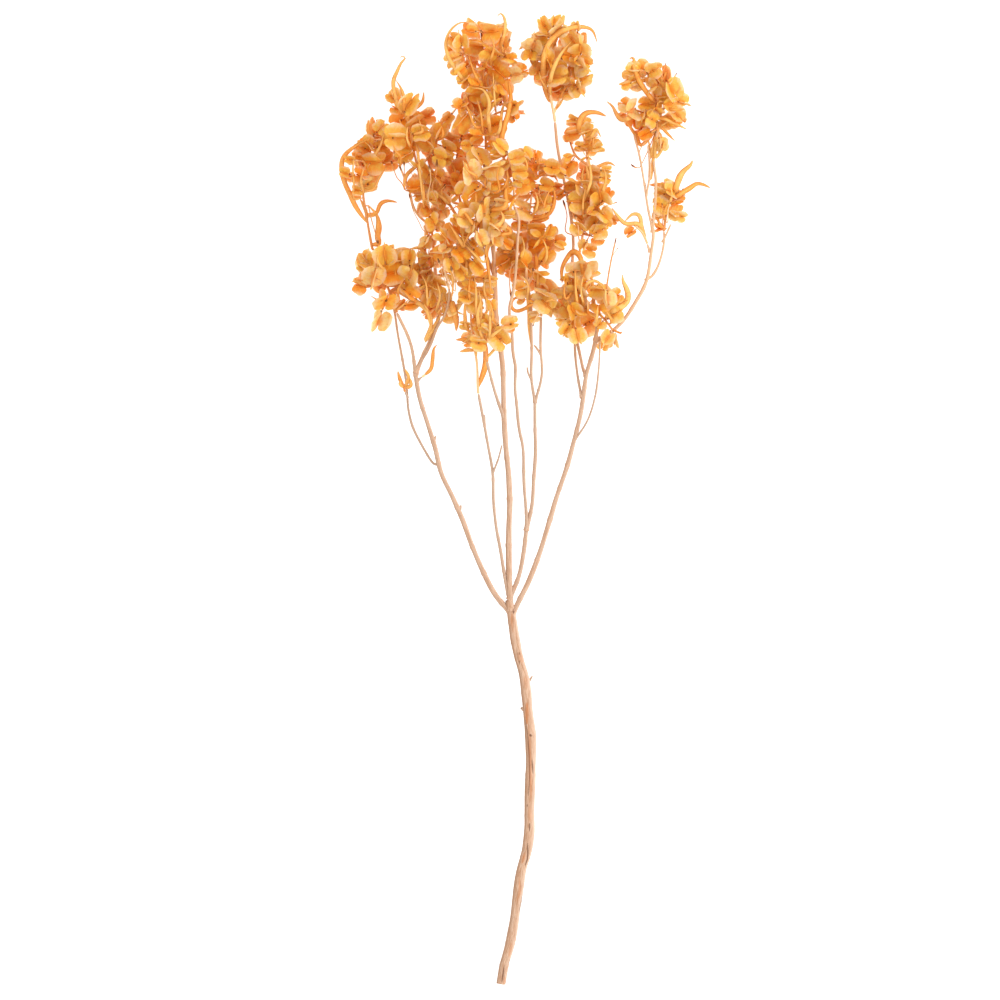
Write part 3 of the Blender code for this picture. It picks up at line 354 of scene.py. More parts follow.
SPRAYS = {
    "spray_left_curl": Spray(
        "left_side_twig", 15.5, 9,
        "370,238 367,222 367,206 363,192 365,172 371,150 374,133 / 366,170 380,162",
        "374,129 366,143 381,146,7.6 357,156,7.6 373,161 386,158,7.6 361,175,7.6 368,185,7.6", """
    4.6 367,223 352,199 343,178 341,162 347,150 368,139 / 4.6 373,248 383,231 377,213 383,201 398,201 /
    3.4 373,150 369,134 368,119""",
        1, "362,160 375,176"),
    "spray_left_middle": Spray(
        "left_inner_arm", 33, 13, """
    433,240,19 429,215,25 425,200,30 420,180 416,160 410,135 404,110 / 418,170 430,155 438,138 / 428,228
    419,221,24 412,197,30 405,180,34 399,165,34 / 426,205 437,190 440,175""", """
    399,103,7.6 411,103 398,119 413,122 427,122 440,131,7.6 395,137 411,140 427,142 398,154 435,155
    417,165,7.6 436,176,7.6 416,184,7.6 432,200,7.6 428,221,7.6""", """
    3.8 402,113 395,88 397,74 405,61 399,57 / 3 419,112 422,103 424,92 / 3.4 417,165 406,176 404,190 /
    3.4 429,215 441,208 447,218""",
        1),
    "spray_column": Spray(
        "centre_limb", 41, 17, """
    486,140 485,120 484,95 484,70 482,45 481,30 / 485,118 470,108 459,100 / 485,120 500,112 512,110 /
    484,75 498,62 503,45 / 484,80 469,62 460,46 / 484,90 499,82 512,75""", """
    478,27 492,32 462,40,7.6 503,42 477,46 491,52 457,56,7.6 507,57,7.6 467,66 483,69 499,72 516,75,7.6
    478,87 458,105 473,104 489,105 513,112 463,121 479,124 495,124 497,140,7.6""", """
    2.6 463,92 451,70 446,50 453,29 464,22 471,25 / 2.6 502,40 505,24 502,15 497,17 / 3.6 489,145 503,133
    510,105 507,82 / 3.2 469,94 480,88 488,98 489,115""",
        1),
    "spray_top": Spray(
        "right_top_twig", 33, 16, """
    553,107 550,90 550,72 553,52 552,35 / 554,112 562,92 573,72 582,50 / 551,68 537,56 530,48 / 565,88
    578,84""", """
    547,25,7.6 559,29,7.6 530,41 544,44 529,54,7.6 570,41 583,48 548,60 563,58 578,63 543,74 557,77
    572,78 586,78,7.6 567,92,7.6 579,92,7.6""", """
    4.6 552,102 546,76 549,50 565,31 589,28 598,42 / 3.6 551,90 556,72 564,55 580,40 / 3 531,50 524,46
    519,50""",
        1),
    "spray_right_middle": Spray(
        "right_low_twig", 28, 13, """
    582,236 585,222 587,205 588,185 588,165 586,148 582,130 578,118 / 586,214 597,208 604,198 / 588,190
    577,182 / 588,165 576,156 570,142 / 583,234 592,236""", """
    577,119,7.6 588,131,7.6 592,147,7.6 570,137,5 569,157,5 583,171,7.6 577,184 592,181 605,180 578,201
    592,199 606,198 590,217 605,215 598,230,7.6""", """
    3.2 580,124 586,112 597,112 607,118 / 3.2 589,172 600,166 609,163 615,166 / 3 586,225 575,214
    568,196""",
        1),
    "spray_far_top": Spray(
        "far_arm", 20, 12.5,
        "658,120 656,100 651,82 646,68 / 657,112 669,105 679,98 / 657,116 642,112 631,108 / 655,94 667,80",
        """
    641,66,7.6 653,70,7.6 636,83,7.6 665,76 676,88 681,101,7.6 678,114,7.6 664,96 631,107 646,104
    635,119,7.6 651,118,7.6 646,134,5 661,143,5""", """
    3.4 656,104 648,92 640,80 634,66 633,56 / 3 632,112 622,120 615,110 607,101 / 2.4 659,122 667,133
    675,141""",
        1, "662,90 653,112"),
    "spray_far_low": Spray(
        "far_side_twig", 15, 5,
        "665,220 667,210 670,197 674,188 / 666,213 677,213",
        "670,188,7.6 680,193,5 663,199,7.6 674,203,7.6 658,213,7.6 681,215,5", """
    4.6 675,190 680,181 685,168 692,167 694,160 / 3.8 674,192 690,189 702,184 711,188 / 3.2 669,194
    659,185 650,184,5"""),
    "spray_centre_back": Spray(
        "centre_back_twig", 20, 7,
        "459,195 456,178 457,155 462,135",
        "465,134 456,150 446,163 460,170 448,183 457,194,7.6",
        "3.2 457,184 447,196 443,210"),
    "spray_centre_front": Spray(
        "centre_riser", 65, 11,
        "492,225 489,208 486,188 484,165 / 490,214 478,218 471,222 / 487,190 470,178",
        "479,158 493,168 471,173 490,191,10.6 474,193 467,207,7.6 483,210 500,213 478,225,7.6 497,228,7.6",
        "3.6 487,195 503,190 508,178 / 3.2 489,210 471,232 464,245",
        1),
    "spray_centre_crown": Spray(
        "right_centre_left", 64, 6,
        "514,198 514,182 511,165 507,152",
        "507,165 519,182 504,146,7.6 511,200,7.6",
        "2.6 515,190 524,176 527,166 523,155"),
    "spray_centre_left": Spray(
        "left_front_twig", 56, 8,
        "447,262 455,250 466,240 473,232 / 450,258 446,246 445,236",
        "444,237,7.6 457,229 471,231,7.6 446,251 461,251 474,245,7.6",
        "3.2 457,249 466,262 464,276",
        1),
    "spray_centre_right": Spray(
        "right_centre_inner", 32, 13, """
    528,288 526,265 528,235 530,205 534,180 536,162 / 527,240 540,236 552,240 / 526,262 515,252 511,240 /
    528,285 541,262""", """
    523,155,7.6 535,161 547,172,7.6 528,178 524,210 537,222 510,238 524,240 541,238 555,240,7.6 508,257
    523,262 539,258 516,273,7.6""",
        "3.6 531,222 549,214 555,198 552,184 / 3 535,178 550,172 558,182",
        1),
    "spray_left_low": Spray(
        "left_arm", 35, 14, """
    394,304 389,290 381,276 370,268 / 391,293 403,282 412,277 / 385,283 372,286 364,288 / 383,279 388,262
    / 390,296 384,306 381,312""", """
    366,261 386,253 402,259 375,276,10.4 392,272 410,274 359,284,7.6 398,288 411,294,7.6 386,301
    402,304,7.6 379,321""",
        "3 371,269 360,266 357,256 / 3 368,287 357,281 352,282 / 4 400,294 418,303 427,312 430,326",
        1),
    "spray_left_inner": Spray(
        "left_inner_twin", 33, 11,
        "437,306 431,290 428,270 427,255 / 436,303 447,305 456,311",
        "424,244,5 429,258,7.6 424,274 436,284 426,294,7.6 441,303 455,311,7.6",
        "3.4 430,285 422,270 418,254 / 3 428,262 420,248 410,249 / 3.2 455,310 459,322 456,330",
        1),
    "spray_centre_low": Spray(
        "centre_side_twig", 61, 7,
        "486,353 485,342 491,332 499,325",
        "484,329 499,338 509,326,7.6 479,342,7.6",
        "3.4 486,348 478,318 481,300 / 2.6 487,345 493,318 490,302"),
    "spray_centre_low_left": Spray(
        "centre_left_twig", 47, 5,
        "478,385 477,370 476,352 472,335 470,315 473,292 475,274",
        "467,340,7.6 466,324,7.6 473,306,7.6 471,288,7.6 479,273,7.6", """
    4.8 478.5,388 485,368 486,352 484,338 485,322 / 3.8 475,348 466,340 456,340 / 3.4 476,352 468,350
    460,352"""),
    "spray_right_inner": Spray(
        "right_centre_outer", 38, 6,
        "542,308 545,298 552,292",
        "545,289 557,294 547,304 538,302,7.6",
        "2.6 542,306 526,300 518,306 511,300"),
    "spray_right_low": Spray(
        "right_seat_arm", 35, 15, """
    596,310 593,295 587,280 583,268 / 595,305 583,312 571,320 / 592,295 577,292 566,284 / 596,308 606,303
    614,298 / 596,312 607,322 614,332 / 605,304 606,290,44 611,262,46 610,251,46 616,238,48""", """
    585,267 569,276 577,289 595,294 607,298,7.6 563,307 560,320,7.6 572,325 588,323 580,308,7.6
    615,294,7.6 613,309,7.6 616,338,7.6""", """
    3.6 582,270 570,254 562,264 562,290 / 4.2 610,302 625,300 626,290 622,276 / 3.2 608,305 619,306
    628,300"""),
    "tuft_left": Spray(
        "tuft_stub", 27, 1,
        "404,387 403,384",
        "", """
    3.2 404,387 400,379 398,371 / 3.2 404,388 409,378 405,369 / 3.4 404,388 411,386 410,378 / 2.8 404,388
    400,384 401,380"""),
    "leaf_left_fork": Spray(
        "left_leaf_stub", 32, 1,
        "424,375.5 426,374.5",
        "",
        "3.4 424,375.5 431,369 433,358 434,349 437,345"),
    "leaf_right_fork": Spray(
        "right_leaf_stub", 26, 1,
        "646,240 645,237 638,227 633,224",
        "631,232,5",
        "3.8 646,240 639,224 625,223 612,208 / 2.4 645.5,239 641,224 636,215 629,217"),
}
print("heads:", len(SPRAYS), "traced capsules:", sum(len(spray.places) for spray in SPRAYS.values()))

# %% [markdown]
# ## Curves and free room
#
# The traced points are far apart, so a smooth curve is drawn through them first. Then each
# capsule looks for a free spot: it tries sixty places near its traced pixel and keeps the
# roomiest. `Room` remembers the space that is taken, as rods with round ends.

# %% Smooth curves through traced points
def unit(vector):
    """The vector at length one."""
    return vector / np.linalg.norm(vector)


def gaps_along(points):
    """The distances between neighbouring points of a line."""
    return np.linalg.norm(np.diff(points, axis=0), axis=1)


def shares(points):
    """How far along a line of points each one lies, from 0 to 1."""
    gaps = gaps_along(points)
    return np.concatenate(([0.0], np.cumsum(gaps))) / gaps.sum()


def resample(line, along, wanted):
    """The places at the wanted shares of a line, whose own points lie at the shares along."""
    return np.column_stack([np.interp(wanted, along, line[:, k]) for k in range(3)])


def smooth(points, step):
    """New points, about one step apart, along a smooth curve through the given ones."""
    points = np.asarray(points, float)
    gaps = gaps_along(points)
    slopes = np.empty_like(points)
    slopes[0] = (points[1] - points[0]) / gaps[0]
    slopes[-1] = (points[-1] - points[-2]) / gaps[-1]
    for i in range(1, len(points) - 1):
        slopes[i] = (points[i + 1] - points[i - 1]) / (gaps[i - 1] + gaps[i])
    curve = [points[0]]
    for i, gap in enumerate(gaps):
        parts = max(1, round(gap / FINE_STEP))
        for part in range(1, parts + 1):
            t = part / parts
            rise = t * t * (3 - 2 * t)
            leave = t * (1 - t) ** 2 * gap
            arrive = t * t * (t - 1) * gap
            curve.append((1 - rise) * points[i] + rise * points[i + 1]
                         + leave * slopes[i] + arrive * slopes[i + 1])
    curve = np.array(curve)
    count = max(2, round(gaps.sum() / step)) + 1
    return resample(curve, shares(curve), np.linspace(0, 1, count))


def fill(line):
    """More points along the straight runs of a line."""
    along = shares(line)
    count = max(2, round(gaps_along(line).sum() / FINE_STEP))
    return resample(line, along, np.union1d(np.linspace(0, 1, count), along))


def nearest(points, place, axes=2):
    """The point that lies nearest to a place, in plan or, with three axes, in space."""
    return points[np.argmin(np.linalg.norm(points[:, :axes] - place[:axes], axis=1))]


def lay_flat(route):
    """A route's places at height 0."""
    return np.array([plan(point, 0.0) for point in route])


def raise_route(route, start_height):
    """A route's places. A height that the route leaves out lies evenly between its neighbours'."""
    flat = lay_flat(route)
    along = shares(flat)
    known = [(along[0], start_height)]
    known += [(along[i], point[2]) for i, point in enumerate(route) if i and len(point) == 3]
    flat[:, 2] = np.interp(along, *zip(*known))
    return flat


class Room:
    """The space already taken, as round-ended rods, each with the piece that owns it."""

    def __init__(self):
        self.owners = np.empty(0, "U40")
        self.rods = np.empty((0, 7))

    def take(self, owner, points, radius):
        """Adds a line of points, as thick as radius at each of them."""
        radii = np.broadcast_to(radius, len(points))
        thick = np.maximum(radii[:-1], radii[1:])
        rods = np.column_stack((points[:-1], points[1:], thick))
        self.rods = np.vstack((self.rods, rods))
        self.owners = np.append(self.owners, [owner] * len(rods))

    def clearance(self, owner, points, radius, same=False):
        """The least room round a line of points to other pieces, or to the owner's own rods."""
        rods = self.rods[(self.owners == owner) == same]
        if not len(rods):
            return math.inf
        starts, spans = rods[:, :3], rods[:, 3:6] - rods[:, :3]
        lengths = np.maximum((spans ** 2).sum(axis=1), 1e-9)
        reach = np.asarray(points)[:, None, :] - starts
        share = np.clip((reach * spans).sum(axis=2) / lengths, 0, 1)
        away = np.linalg.norm(reach - share[..., None] * spans, axis=2) - rods[:, 6]
        return float((away.min(axis=1) - radius).min())


print("a curve through the stem has", len(smooth(lay_flat(STEM), 1.5)), "points")

# %% [markdown]
# A capsule hangs on its own stalk and lies a little flatter than that stalk. Its pose is four
# things: where its stalk starts, its middle, its wing radius, and how far it is turned on its
# axis. From these come its axis, the directions across it and the outermost points of its wings.

# %% The pose of a capsule
@dataclass
class Capsule:
    """A seed capsule: where its stalk leaves the head, its middle, its wing radius and its turn."""
    root: np.ndarray
    centre: np.ndarray
    radius: float
    turn: float
    traced: np.ndarray = None

    def frame(self):
        """The axis, and the two directions across it."""
        axis = unit((self.centre - self.root) * CAPSULE_LEVEL)
        side = unit(np.cross(axis, NEARLY_UP))
        return axis, np.cross(side, axis), side

    def length(self):
        """From its base to its top."""
        return CAPSULE_LENGTH * self.radius / CAPSULE_RADIUS

    def base(self):
        """Where its stalk meets it."""
        return self.centre - self.frame()[0] * self.length() / 2

    def corners(self):
        """The outermost points of its wings, its base and its top."""
        axis, normal, side = self.frame()
        base = self.base()
        found = [base, base + axis * self.length(), self.root]
        for (share, spread), twist in ((WING_LOW, 0.0), (WING_HIGH, WING_TWIST)):
            for wing in range(3):
                angle = self.turn + twist + wing * 2 * math.pi / 3
                found.append(base + axis * self.length() * share
                             + self.radius * spread * (math.cos(angle) * normal + math.sin(angle) * side))
        return np.array(found)


def half_length(radius):
    """Half the length of a capsule with this wing radius."""
    return 0.5 * CAPSULE_LENGTH * radius / CAPSULE_RADIUS


def hang(root, middle, radius, draw):
    """A capsule with its first wing to one side or the other, give or take a random roll."""
    return Capsule(root, middle, radius, draw.choice((0.0, math.pi)) + draw.gauss(0.0, WING_ROLL))


def fit_capsule(name, spray, place, radius, stalk_points, room, draw):
    """The roomiest of some tries at a capsule at a place, or None where each is in the way."""
    best, best_gap = None, -CROWDING * radius
    half = half_length(radius)
    for attempt in range(CAPSULE_TRIES):
        spot = plan(place, spray.height)
        shift = FIRST_SHIFT + MORE_SHIFT * attempt
        spot[:2] += (draw.uniform(-shift, shift), draw.uniform(-shift, shift))
        away = np.linalg.norm(stalk_points[:, :2] - spot[:2], axis=1).min()
        reach = math.sqrt(max(spray.depth ** 2 - away ** 2, LEAST_REACH ** 2))
        spot[2] += draw.choice((-1, 1)) * draw.uniform(*OUTER_SHARES) * reach
        root = nearest(stalk_points, spot, axes=3)
        root = root + [draw.uniform(-ROOT_SHIFT, ROOT_SHIFT) for _ in range(3)]
        if np.linalg.norm(spot - root) < half + 2 * STALK_RADIUS:
            spot = root + unit((spot - root) * CAPSULE_LEVEL) * half
        tried = hang(root, spot, radius, draw)
        if tried.corners()[:, 2].min() < TABLE_GAP:
            continue
        if room.clearance(name, [spot], radius) < NODE_GAP:
            continue
        if room.clearance(name, np.linspace(root, spot, STALK_CHECKS)[1:], STALK_RADIUS) < NODE_GAP:
            continue
        gap = room.clearance(name, [spot], radius, same=True)
        if gap > best_gap:
            best, best_gap = tried, gap
    return best


def rest_capsule(place, stalk_points):
    """A capsule under its stalk with one wing down on the table."""
    spot = plan(place, CAPSULE_RADIUS)
    root = nearest(stalk_points, spot + REST_BACK * BACK)
    for _ in range(REST_TRIES):
        resting = Capsule(root, spot, CAPSULE_RADIUS, math.pi)
        spot[2] -= resting.corners()[:, 2].min() + TABLE_DIP
    return resting


def take_capsule(name, capsule, room):
    """Marks a capsule's space as taken."""
    room.take(name, np.array((capsule.centre, capsule.centre)), capsule.radius)
    room.take(name, np.array((capsule.root, capsule.centre)), STALK_RADIUS)


# %% [markdown]
# ## Laying out the branch
#
# First the wood, then every head's stalks, then the traced leaves, and last, head by head, the
# capsules and a few loose leaves. The order matters, because each step takes up room.

# %% The lines of the wood
@dataclass
class Path:
    """A line to sweep a section along: its half width at each point, and its roll at the far end."""
    points: np.ndarray
    thickness: np.ndarray
    tilt: float = 0.0
    sides: int = 6
    tone: float = 0.5


room = Room()
flat = lay_flat(STEM)
flat[:, 2] = STEM_CUT_HEIGHT + (STEM_FORK_HEIGHT - STEM_CUT_HEIGHT) * shares(flat)
line = smooth(flat, STEM_STEP)
radii = np.interp(shares(line), shares(flat), [point[2] for point in STEM])
room.take("branch", line, radii)
twig_lines = {"stem": fill(line)}
wood_paths = {"stem": Path(line, radii, sides=STEM_SIDES)}
for name, twig in TWIGS.items():
    start = nearest(twig_lines[twig.parent], plan(twig.route[0], 0.0))
    route = raise_route(twig.route, start[2])
    route[0] = start
    line = smooth(route, TWIG_STEP)
    radii = np.interp(shares(line), (0, 1), (twig.base_radius, twig.tip_radius))
    twig_lines[name] = fill(line)
    wood_paths[name] = Path(line, radii, sides=twig.sides)
    room.take("branch", line, radii)
print("lines of wood:", len(wood_paths))

# %% Where a twig bends more finely than its solid: plan x and y between its two ends
BENDS = {
    "right_centre_left": """
    526.3,514 524,482 523,448 519,428 516.5,402 515,388 515.5,367 513,353 512,333 510,318 509.5,308
    512,297 514.5,284 516.5,262 517.5,240 519,222""",
    "right_limb": """
    520,599 528.5,582 539,555 550.5,518 557,496 567,467 574,441 580,417 583.5,396 586.5,374
    592.5,354""",
    "right_top_twig": (
        "582.5,366 580,354 577.5,343 572,320 570.5,295 572.5,262 573.5,244 571,216 564,180 558,150"),
    "far_side_twig": "653,275 657.5,267.5 661,257.5 663.5,247 664.5,239",
    "right_outer_arm": "611,332 623,321 634.5,304 646.5,281 651.5,251 653.5,236",
    "left_side_twig": (
        "432,462 419,440 412,425 408,407 407,391 405,375 401.5,355 397.5,333 394,310 387,285 378.5,262"),
}
BEND_STEP = 6.0
for name, bends in BENDS.items():
    coarse = wood_paths[name]
    ends = coarse.points[0], coarse.points[-1]
    between = lay_flat(read_places(bends))
    line = smooth(np.vstack((ends[0], between, ends[1])), BEND_STEP)
    line[:, 2] = np.interp(shares(line), shares(coarse.points), coarse.points[:, 2])
    radii = np.interp(shares(line), (0, 1), coarse.thickness[[0, -1]])
    wood_paths[name] = Path(line, radii, sides=coarse.sides)
print("twigs with finer bends:", len(BENDS))


# %% The stalks, traced leaves and capsules of each head
@dataclass
class Head:
    """What one head is made of."""
    stalks: list
    points: np.ndarray
    leaves: list
    capsules: list


def grow_stalks(name, spray, seat):
    """A head's stalks: their lines with radii, and the points that capsules may grow from."""
    outward = unit(seat[-1] - seat[-2])
    foot = seat[-1] + outward * SEAT_GAP
    lines, stalks = [], []
    for route in spray.stalks:
        if not lines:
            rest = raise_route(route, spray.height)
            rest[:, 2] = np.interp(shares(np.vstack((foot, rest)))[1:], (0, 0.5, 1),
                                   (foot[2], spray.height, spray.height))
            for i, point in enumerate(route):
                if len(point) == 3:
                    rest[i, 2] = point[2]
            places = np.vstack((foot + outward * SEAT_LENGTH, rest))
        else:
            start = nearest(np.vstack(lines), plan(route[0], 0.0))
            level = route if len(route[-1]) == 3 else route[:-1] + ((*route[-1], spray.height),)
            places = raise_route(level, start[2])
            places[0] = start
        line = smooth(places, STALK_STEP)
        if not lines:
            line = np.vstack((foot, line))
        radii = np.interp(shares(line), (0, 1), (SPRAY_STALK_BASE, SPRAY_STALK_TIP))
        lines.append(fill(line)[:-1])
        stalks.append(Path(line, radii))
        room.take(name, line, radii)
    return stalks, np.vstack(lines)[SEAT_POINTS:]


def lay_leaf(name, leaf, stalk_points):
    """A traced leaf's line and width, from the nearest stalk, a little above it at the tip."""
    width, route = leaf
    start = nearest(stalk_points, plan(route[0], 0.0))
    places = raise_route(route, start[2])
    places[:, 2] += LEAF_RISE * shares(places)
    places[0] = start
    room.take(name, smooth(places, LEAF_STEP), width * LEAF_ROOM)
    return places, width, LEAF_ROLL


def place_capsules(name, spray, stalk_points, draw):
    """A capsule at each place: smaller where there is less room, and none where there is too little."""
    placed = []
    for place in spray.resting:
        resting = rest_capsule(place, stalk_points)
        placed.append(resting)
        take_capsule(name, resting, room)
    for place in spray.places:
        wanted = place[2] if len(place) == 3 else CAPSULE_RADIUS
        for radius in [wanted] + [less for less in (SMALL, TINY) if less < wanted]:
            fitted = fit_capsule(name, spray, place, radius, stalk_points, room, draw)
            if fitted:
                fitted.traced = plan(place, 0.0)[:2]
                placed.append(fitted)
                take_capsule(name, fitted, room)
                break
    return placed


def place_loose_leaves(name, spray, stalk_points, draw):
    """Short curled leaves among the capsules."""
    laid = []
    for _ in range(spray.loose_leaves):
        for _ in range(LEAF_TRIES):
            target = plan(draw.choice(spray.places), spray.height)
            target += (draw.uniform(-6, 6), draw.uniform(-6, 6), draw.uniform(-0.9, 0.9) * spray.depth)
            start = nearest(stalk_points, target + LOOSE_LEAF_BACK * BACK)
            bend = np.array((draw.uniform(-3, 3), draw.uniform(-3, 3), draw.uniform(0, 3)))
            line = smooth((start, (start + target) / 2 + bend, target), LEAF_STEP / 2)
            width = draw.uniform(*LOOSE_LEAF_WIDTHS)
            long_enough = np.linalg.norm(target - start) > LOOSE_LEAF_LENGTH
            off_table = line[:, 2].min() > width / 2 + TABLE_GAP
            if long_enough and off_table and room.clearance(name, fill(line), width) > NODE_GAP:
                laid.append((line, width, draw.uniform(-LOOSE_LEAF_ROLL, LOOSE_LEAF_ROLL)))
                room.take(name, line, width * LEAF_ROOM)
                break
    return laid


heads = {}
for name, spray in SPRAYS.items():
    stalks, points = grow_stalks(name, spray, twig_lines[spray.seat])
    heads[name] = Head(stalks, points, [], [])
for name, spray in SPRAYS.items():
    heads[name].leaves = [lay_leaf(name, leaf, heads[name].points) for leaf in spray.leaves]
for number, (name, spray) in enumerate(SPRAYS.items()):
    head = heads[name]
    draw = random.Random(CAPSULE_SEED + number)
    head.capsules = place_capsules(name, spray, head.points, draw)
    head.leaves += place_loose_leaves(name, spray, head.points, draw)
print("capsules as in the solids:", sum(len(head.capsules) for head in heads.values()))

# %% [markdown]
# ## Filling the heads
#
# The solids hold 181 capsules, and real heads hold more. First come young capsules traced where the
# photograph shows them in the gaps, and then some more at random among the traced ones. A young one
# may press into its neighbours, as papery wings do. It stays within 5 mm of the box of its head's
# solid, and its middle keeps clear of the wood and of other heads. A place where no try can do that
# stays empty: 53 of the 289 traced young ones do.

# %% Young capsules traced in the gaps: plan x, plan y, and a wing radius that isn't the small one
YOUNG = {
    "spray_left_curl": """
    357,189,5 396,172,5 349,174,5 366,152 392,165 350,162,5 378,140 370,186 347,170,5 384,157""",
    "spray_left_middle": """
    396,106,5 448,148 412,187 430,187 424,209,5 405,166 411,118 444,158 409,150,8.6 422,132,8.6
    426,165,8.6 415,200,5 421,103 437,212 424,196 441,198 431,206 405,130,8.6 438,222,5 427,117
    428,236,6.4 393,101,5 396,98,5 451,158,6.4 431,231,5 437,229,5""",
    "spray_column": """
    507,88 497,91 514,108 512,120 455,108 464,103 447,118,5 472,134,8.6 479,140 470,145,5 450,46,5
    487,133 488,78,8.6 473,76 502,98 484,38,8.6 495,60,8.6 457,44,8.6 454,60 462,31 469,30 470,56,8.6
    463,74 455,93,5 476,96 519,78 486,117 494,150 463,86,6.4 505,70 521,73 510,63,6.4 446,119,5
    516,118,5""",
    "spray_top": """
    543,25 552,24 536,60 557,93 570,28,5 552,68,8.6 573,55,8.6 540,35 562,84 566,50 541,52,8.6 560,66,8.6
    575,39 537,72 586,66 525,41,5 582,58 586,54,5 587,66,6.4 580,88,6.4 537,46 541,25,6.4""",
    "spray_right_middle": """
    576,136 603,170 577,191 578,226 585,244,5 598,222 600,190,8.6 586,160,5 582,208 610,226,5 584,140,5
    599,132,5 602,150,5 594,165 590,190 593,209,8.6 609,205 567,168 573,116,5 583,120,6.4 605,172,5
    604,190,6.4 607,180,5 609,189,5 612,220,5 587,248,6.4 565,200,5""",
    "spray_far_top": """
    633,66,6.4 630,75 627,87,5 683,116,5 676,122 655,86 643,92 668,104,8.6 655,112 644,122,5 657,78
    667,118 625,112,5 646,136,6 641,151,5 629,103,6.4 660,147,6.4 632,72,6.4 629,84,5""",
    "spray_far_low": "662,222,5 668,194,5 672,210,5 665,206 677,197,5 670,200 680,206,5",
    "spray_centre_back": """
    452,208 444,219,5 451,216,5 458,220 453,140 463,158,8.6 447,150 461,183 448,163 456,212 443,212
    449,198 455,173,8.6 448,215,6.4""",
    "spray_centre_front": """
    508,219,5 488,244 482,179,8.6 466,190 495,180 488,218,8.6 470,219 500,200 477,168 484,242 480,199,8.6
    492,235 486,252 478,250,6.4 497,246,6.4 504,246,5""",
    "spray_centre_crown": "515,172 512,190 508,155,5 518,160 499,156,6.4",
    "spray_centre_left": """
    453,264 478,265 471,273,5 456,281,5 465,240 483,256,5 450,243 480,257 454,278 466,262,8.6 455,288,5
    463,270 455,221,5 450,219,5 479,249,6.4""",
    "spray_centre_right": """
    540,188,8.6 541,203,8.6 546,195 556,183,5 549,257 525,195 553,229,5 521,290 520,304,5 530,250,8.6
    516,245 533,232,8.6 526,222 543,230 508,282,5 531,168 543,210 535,282 542,273 514,262,8.6 531,270,8.6
    545,248,8.6 536,200,8.6 523,302 502,263,8.6 507,267 553,172 545,180 504,253,6.4 548,236,6.4 558,243,5
    506,274,5 535,155,5""",
    "spray_left_low": """
    372,293 382,288 412,258 380,264 396,264,8.6 404,284 389,281 415,305,5 391,251 373,283,8.6 364,294,6.4
    367,254,6.4 408,303,5""",
    "spray_left_inner": """
    449,318 432,270 436,297 444,290,5 422,284,5 441,275,5 417,268,5 430,286,8.6 421,262,5 432,307""",
    "spray_centre_low": "510,325,5 491,340 491,326 488,306,5 489,293,5",
    "spray_centre_low_left": """
    465,313 465,300,5 474,330 478,294,5 472,318 466,307 474,283 470,297 488,282,6.4 486,294,6.4
    487,270,6.4 455,280,6.4""",
    "spray_right_inner": "537,317,5 551,304 549,282,5",
    "spray_right_low": """
    563,326 573,334 605,341 601,325,5 591,275 580,300 600,308 588,310,8.6 570,296 578,276 616,313
    553,320,5 566,268 572,308,8.6 586,286,8.6 606,346,5 590,265,5 560,282,5""",
}
FILLER_SHARE = 0.5  # fillers at random for each traced capsule
FILLER_RADII = (5.0, 6.4, 7.6)
YOUNG_TRIES = 14
YOUNG_CROWDING = 1.1  # how deep a young capsule may press into its neighbours, in its own radii
YOUNG_SHIFT = 1.5
YOUNG_SEED = 7300
FILLER_SHIFT = 4.0
WOOD_GAP = 0.2
CORE = 0.5  # the share of a young capsule's radius that keeps clear of other pieces
ASIDE = np.array((0.0, 0.01, 0.02))  # gives a direction to a capsule that lies on its stalk
TRACE_PULL = 0.75
LONGEST_PULL = 3.2
BOX_MARGIN = np.array(((-5.0, -5.0, 0.0), (5.0, 5.0, 0.0)))
# The table shows between the heads at these places: plan x, plan y, radius in pixels.
CLEAR = read_places("""
    437,97,11 382,105,6 386,113,4 444,92,11 440,108,5 448,102,4 494,10,10 470,8,9 450,18,8 518,43,5
    519,52,3 524,94,5 533,116,10 518,137,12 526,26,8 531,84,5 600,47,8 600,78,7 594,97,8 592,38,3
    580,107,8 574,12,9 609,132,11 604,158,5 618,66,8 612,88,7 650,50,9 675,60,9 692,84,10 556,268,7
    608,264,10 614,280,8 630,335,8 546,332,9 447,330,7 455,337,6 344,292,9 347,250,12 365,304,6
    388,187,12 375,197,6 403,202,9 410,221,11 400,176,6 409,203,6 419,222,5 503,289,8 408,235,9 458,28,3
    633,94,5 550,138,10 436,45,6 446,72,4 453,84,5 547,6,8 537,139,10 622,186,9 621,131,9 690,128,7
    676,140,7 345,277,9 612,358,9 558,220,6 616,200,4 617,229,4 363,243,5 388,236,7""")
CLEAR_SHARE = 0.85  # how much of a capsule's radius stays out of a clear spot
MOST_MOVED = 4.5
LEAST_RADIUS = 4.5
CLEAR_ROUNDS = 3


boxes = {name: np.array(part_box(name)) / MM + BOX_MARGIN for name in SPRAYS}


def inside_box(name, points):
    """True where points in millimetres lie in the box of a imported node, or just outside it."""
    low, high = boxes[name]
    return bool((points >= low).all() and (points <= high).all())


def pull_to_trace(capsules):
    """Moves capsules back towards the pixels where they were traced."""
    for capsule in capsules:
        if capsule.traced is not None:
            shift = (capsule.traced - capsule.centre[:2]) * TRACE_PULL
            capsule.centre[:2] += shift * min(1.0, LONGEST_PULL / max(np.linalg.norm(shift), 1e-6))


clear_middles = lay_flat(CLEAR)[:, :2]
clear_radii = np.array([spot[2] for spot in CLEAR]) * PIXEL


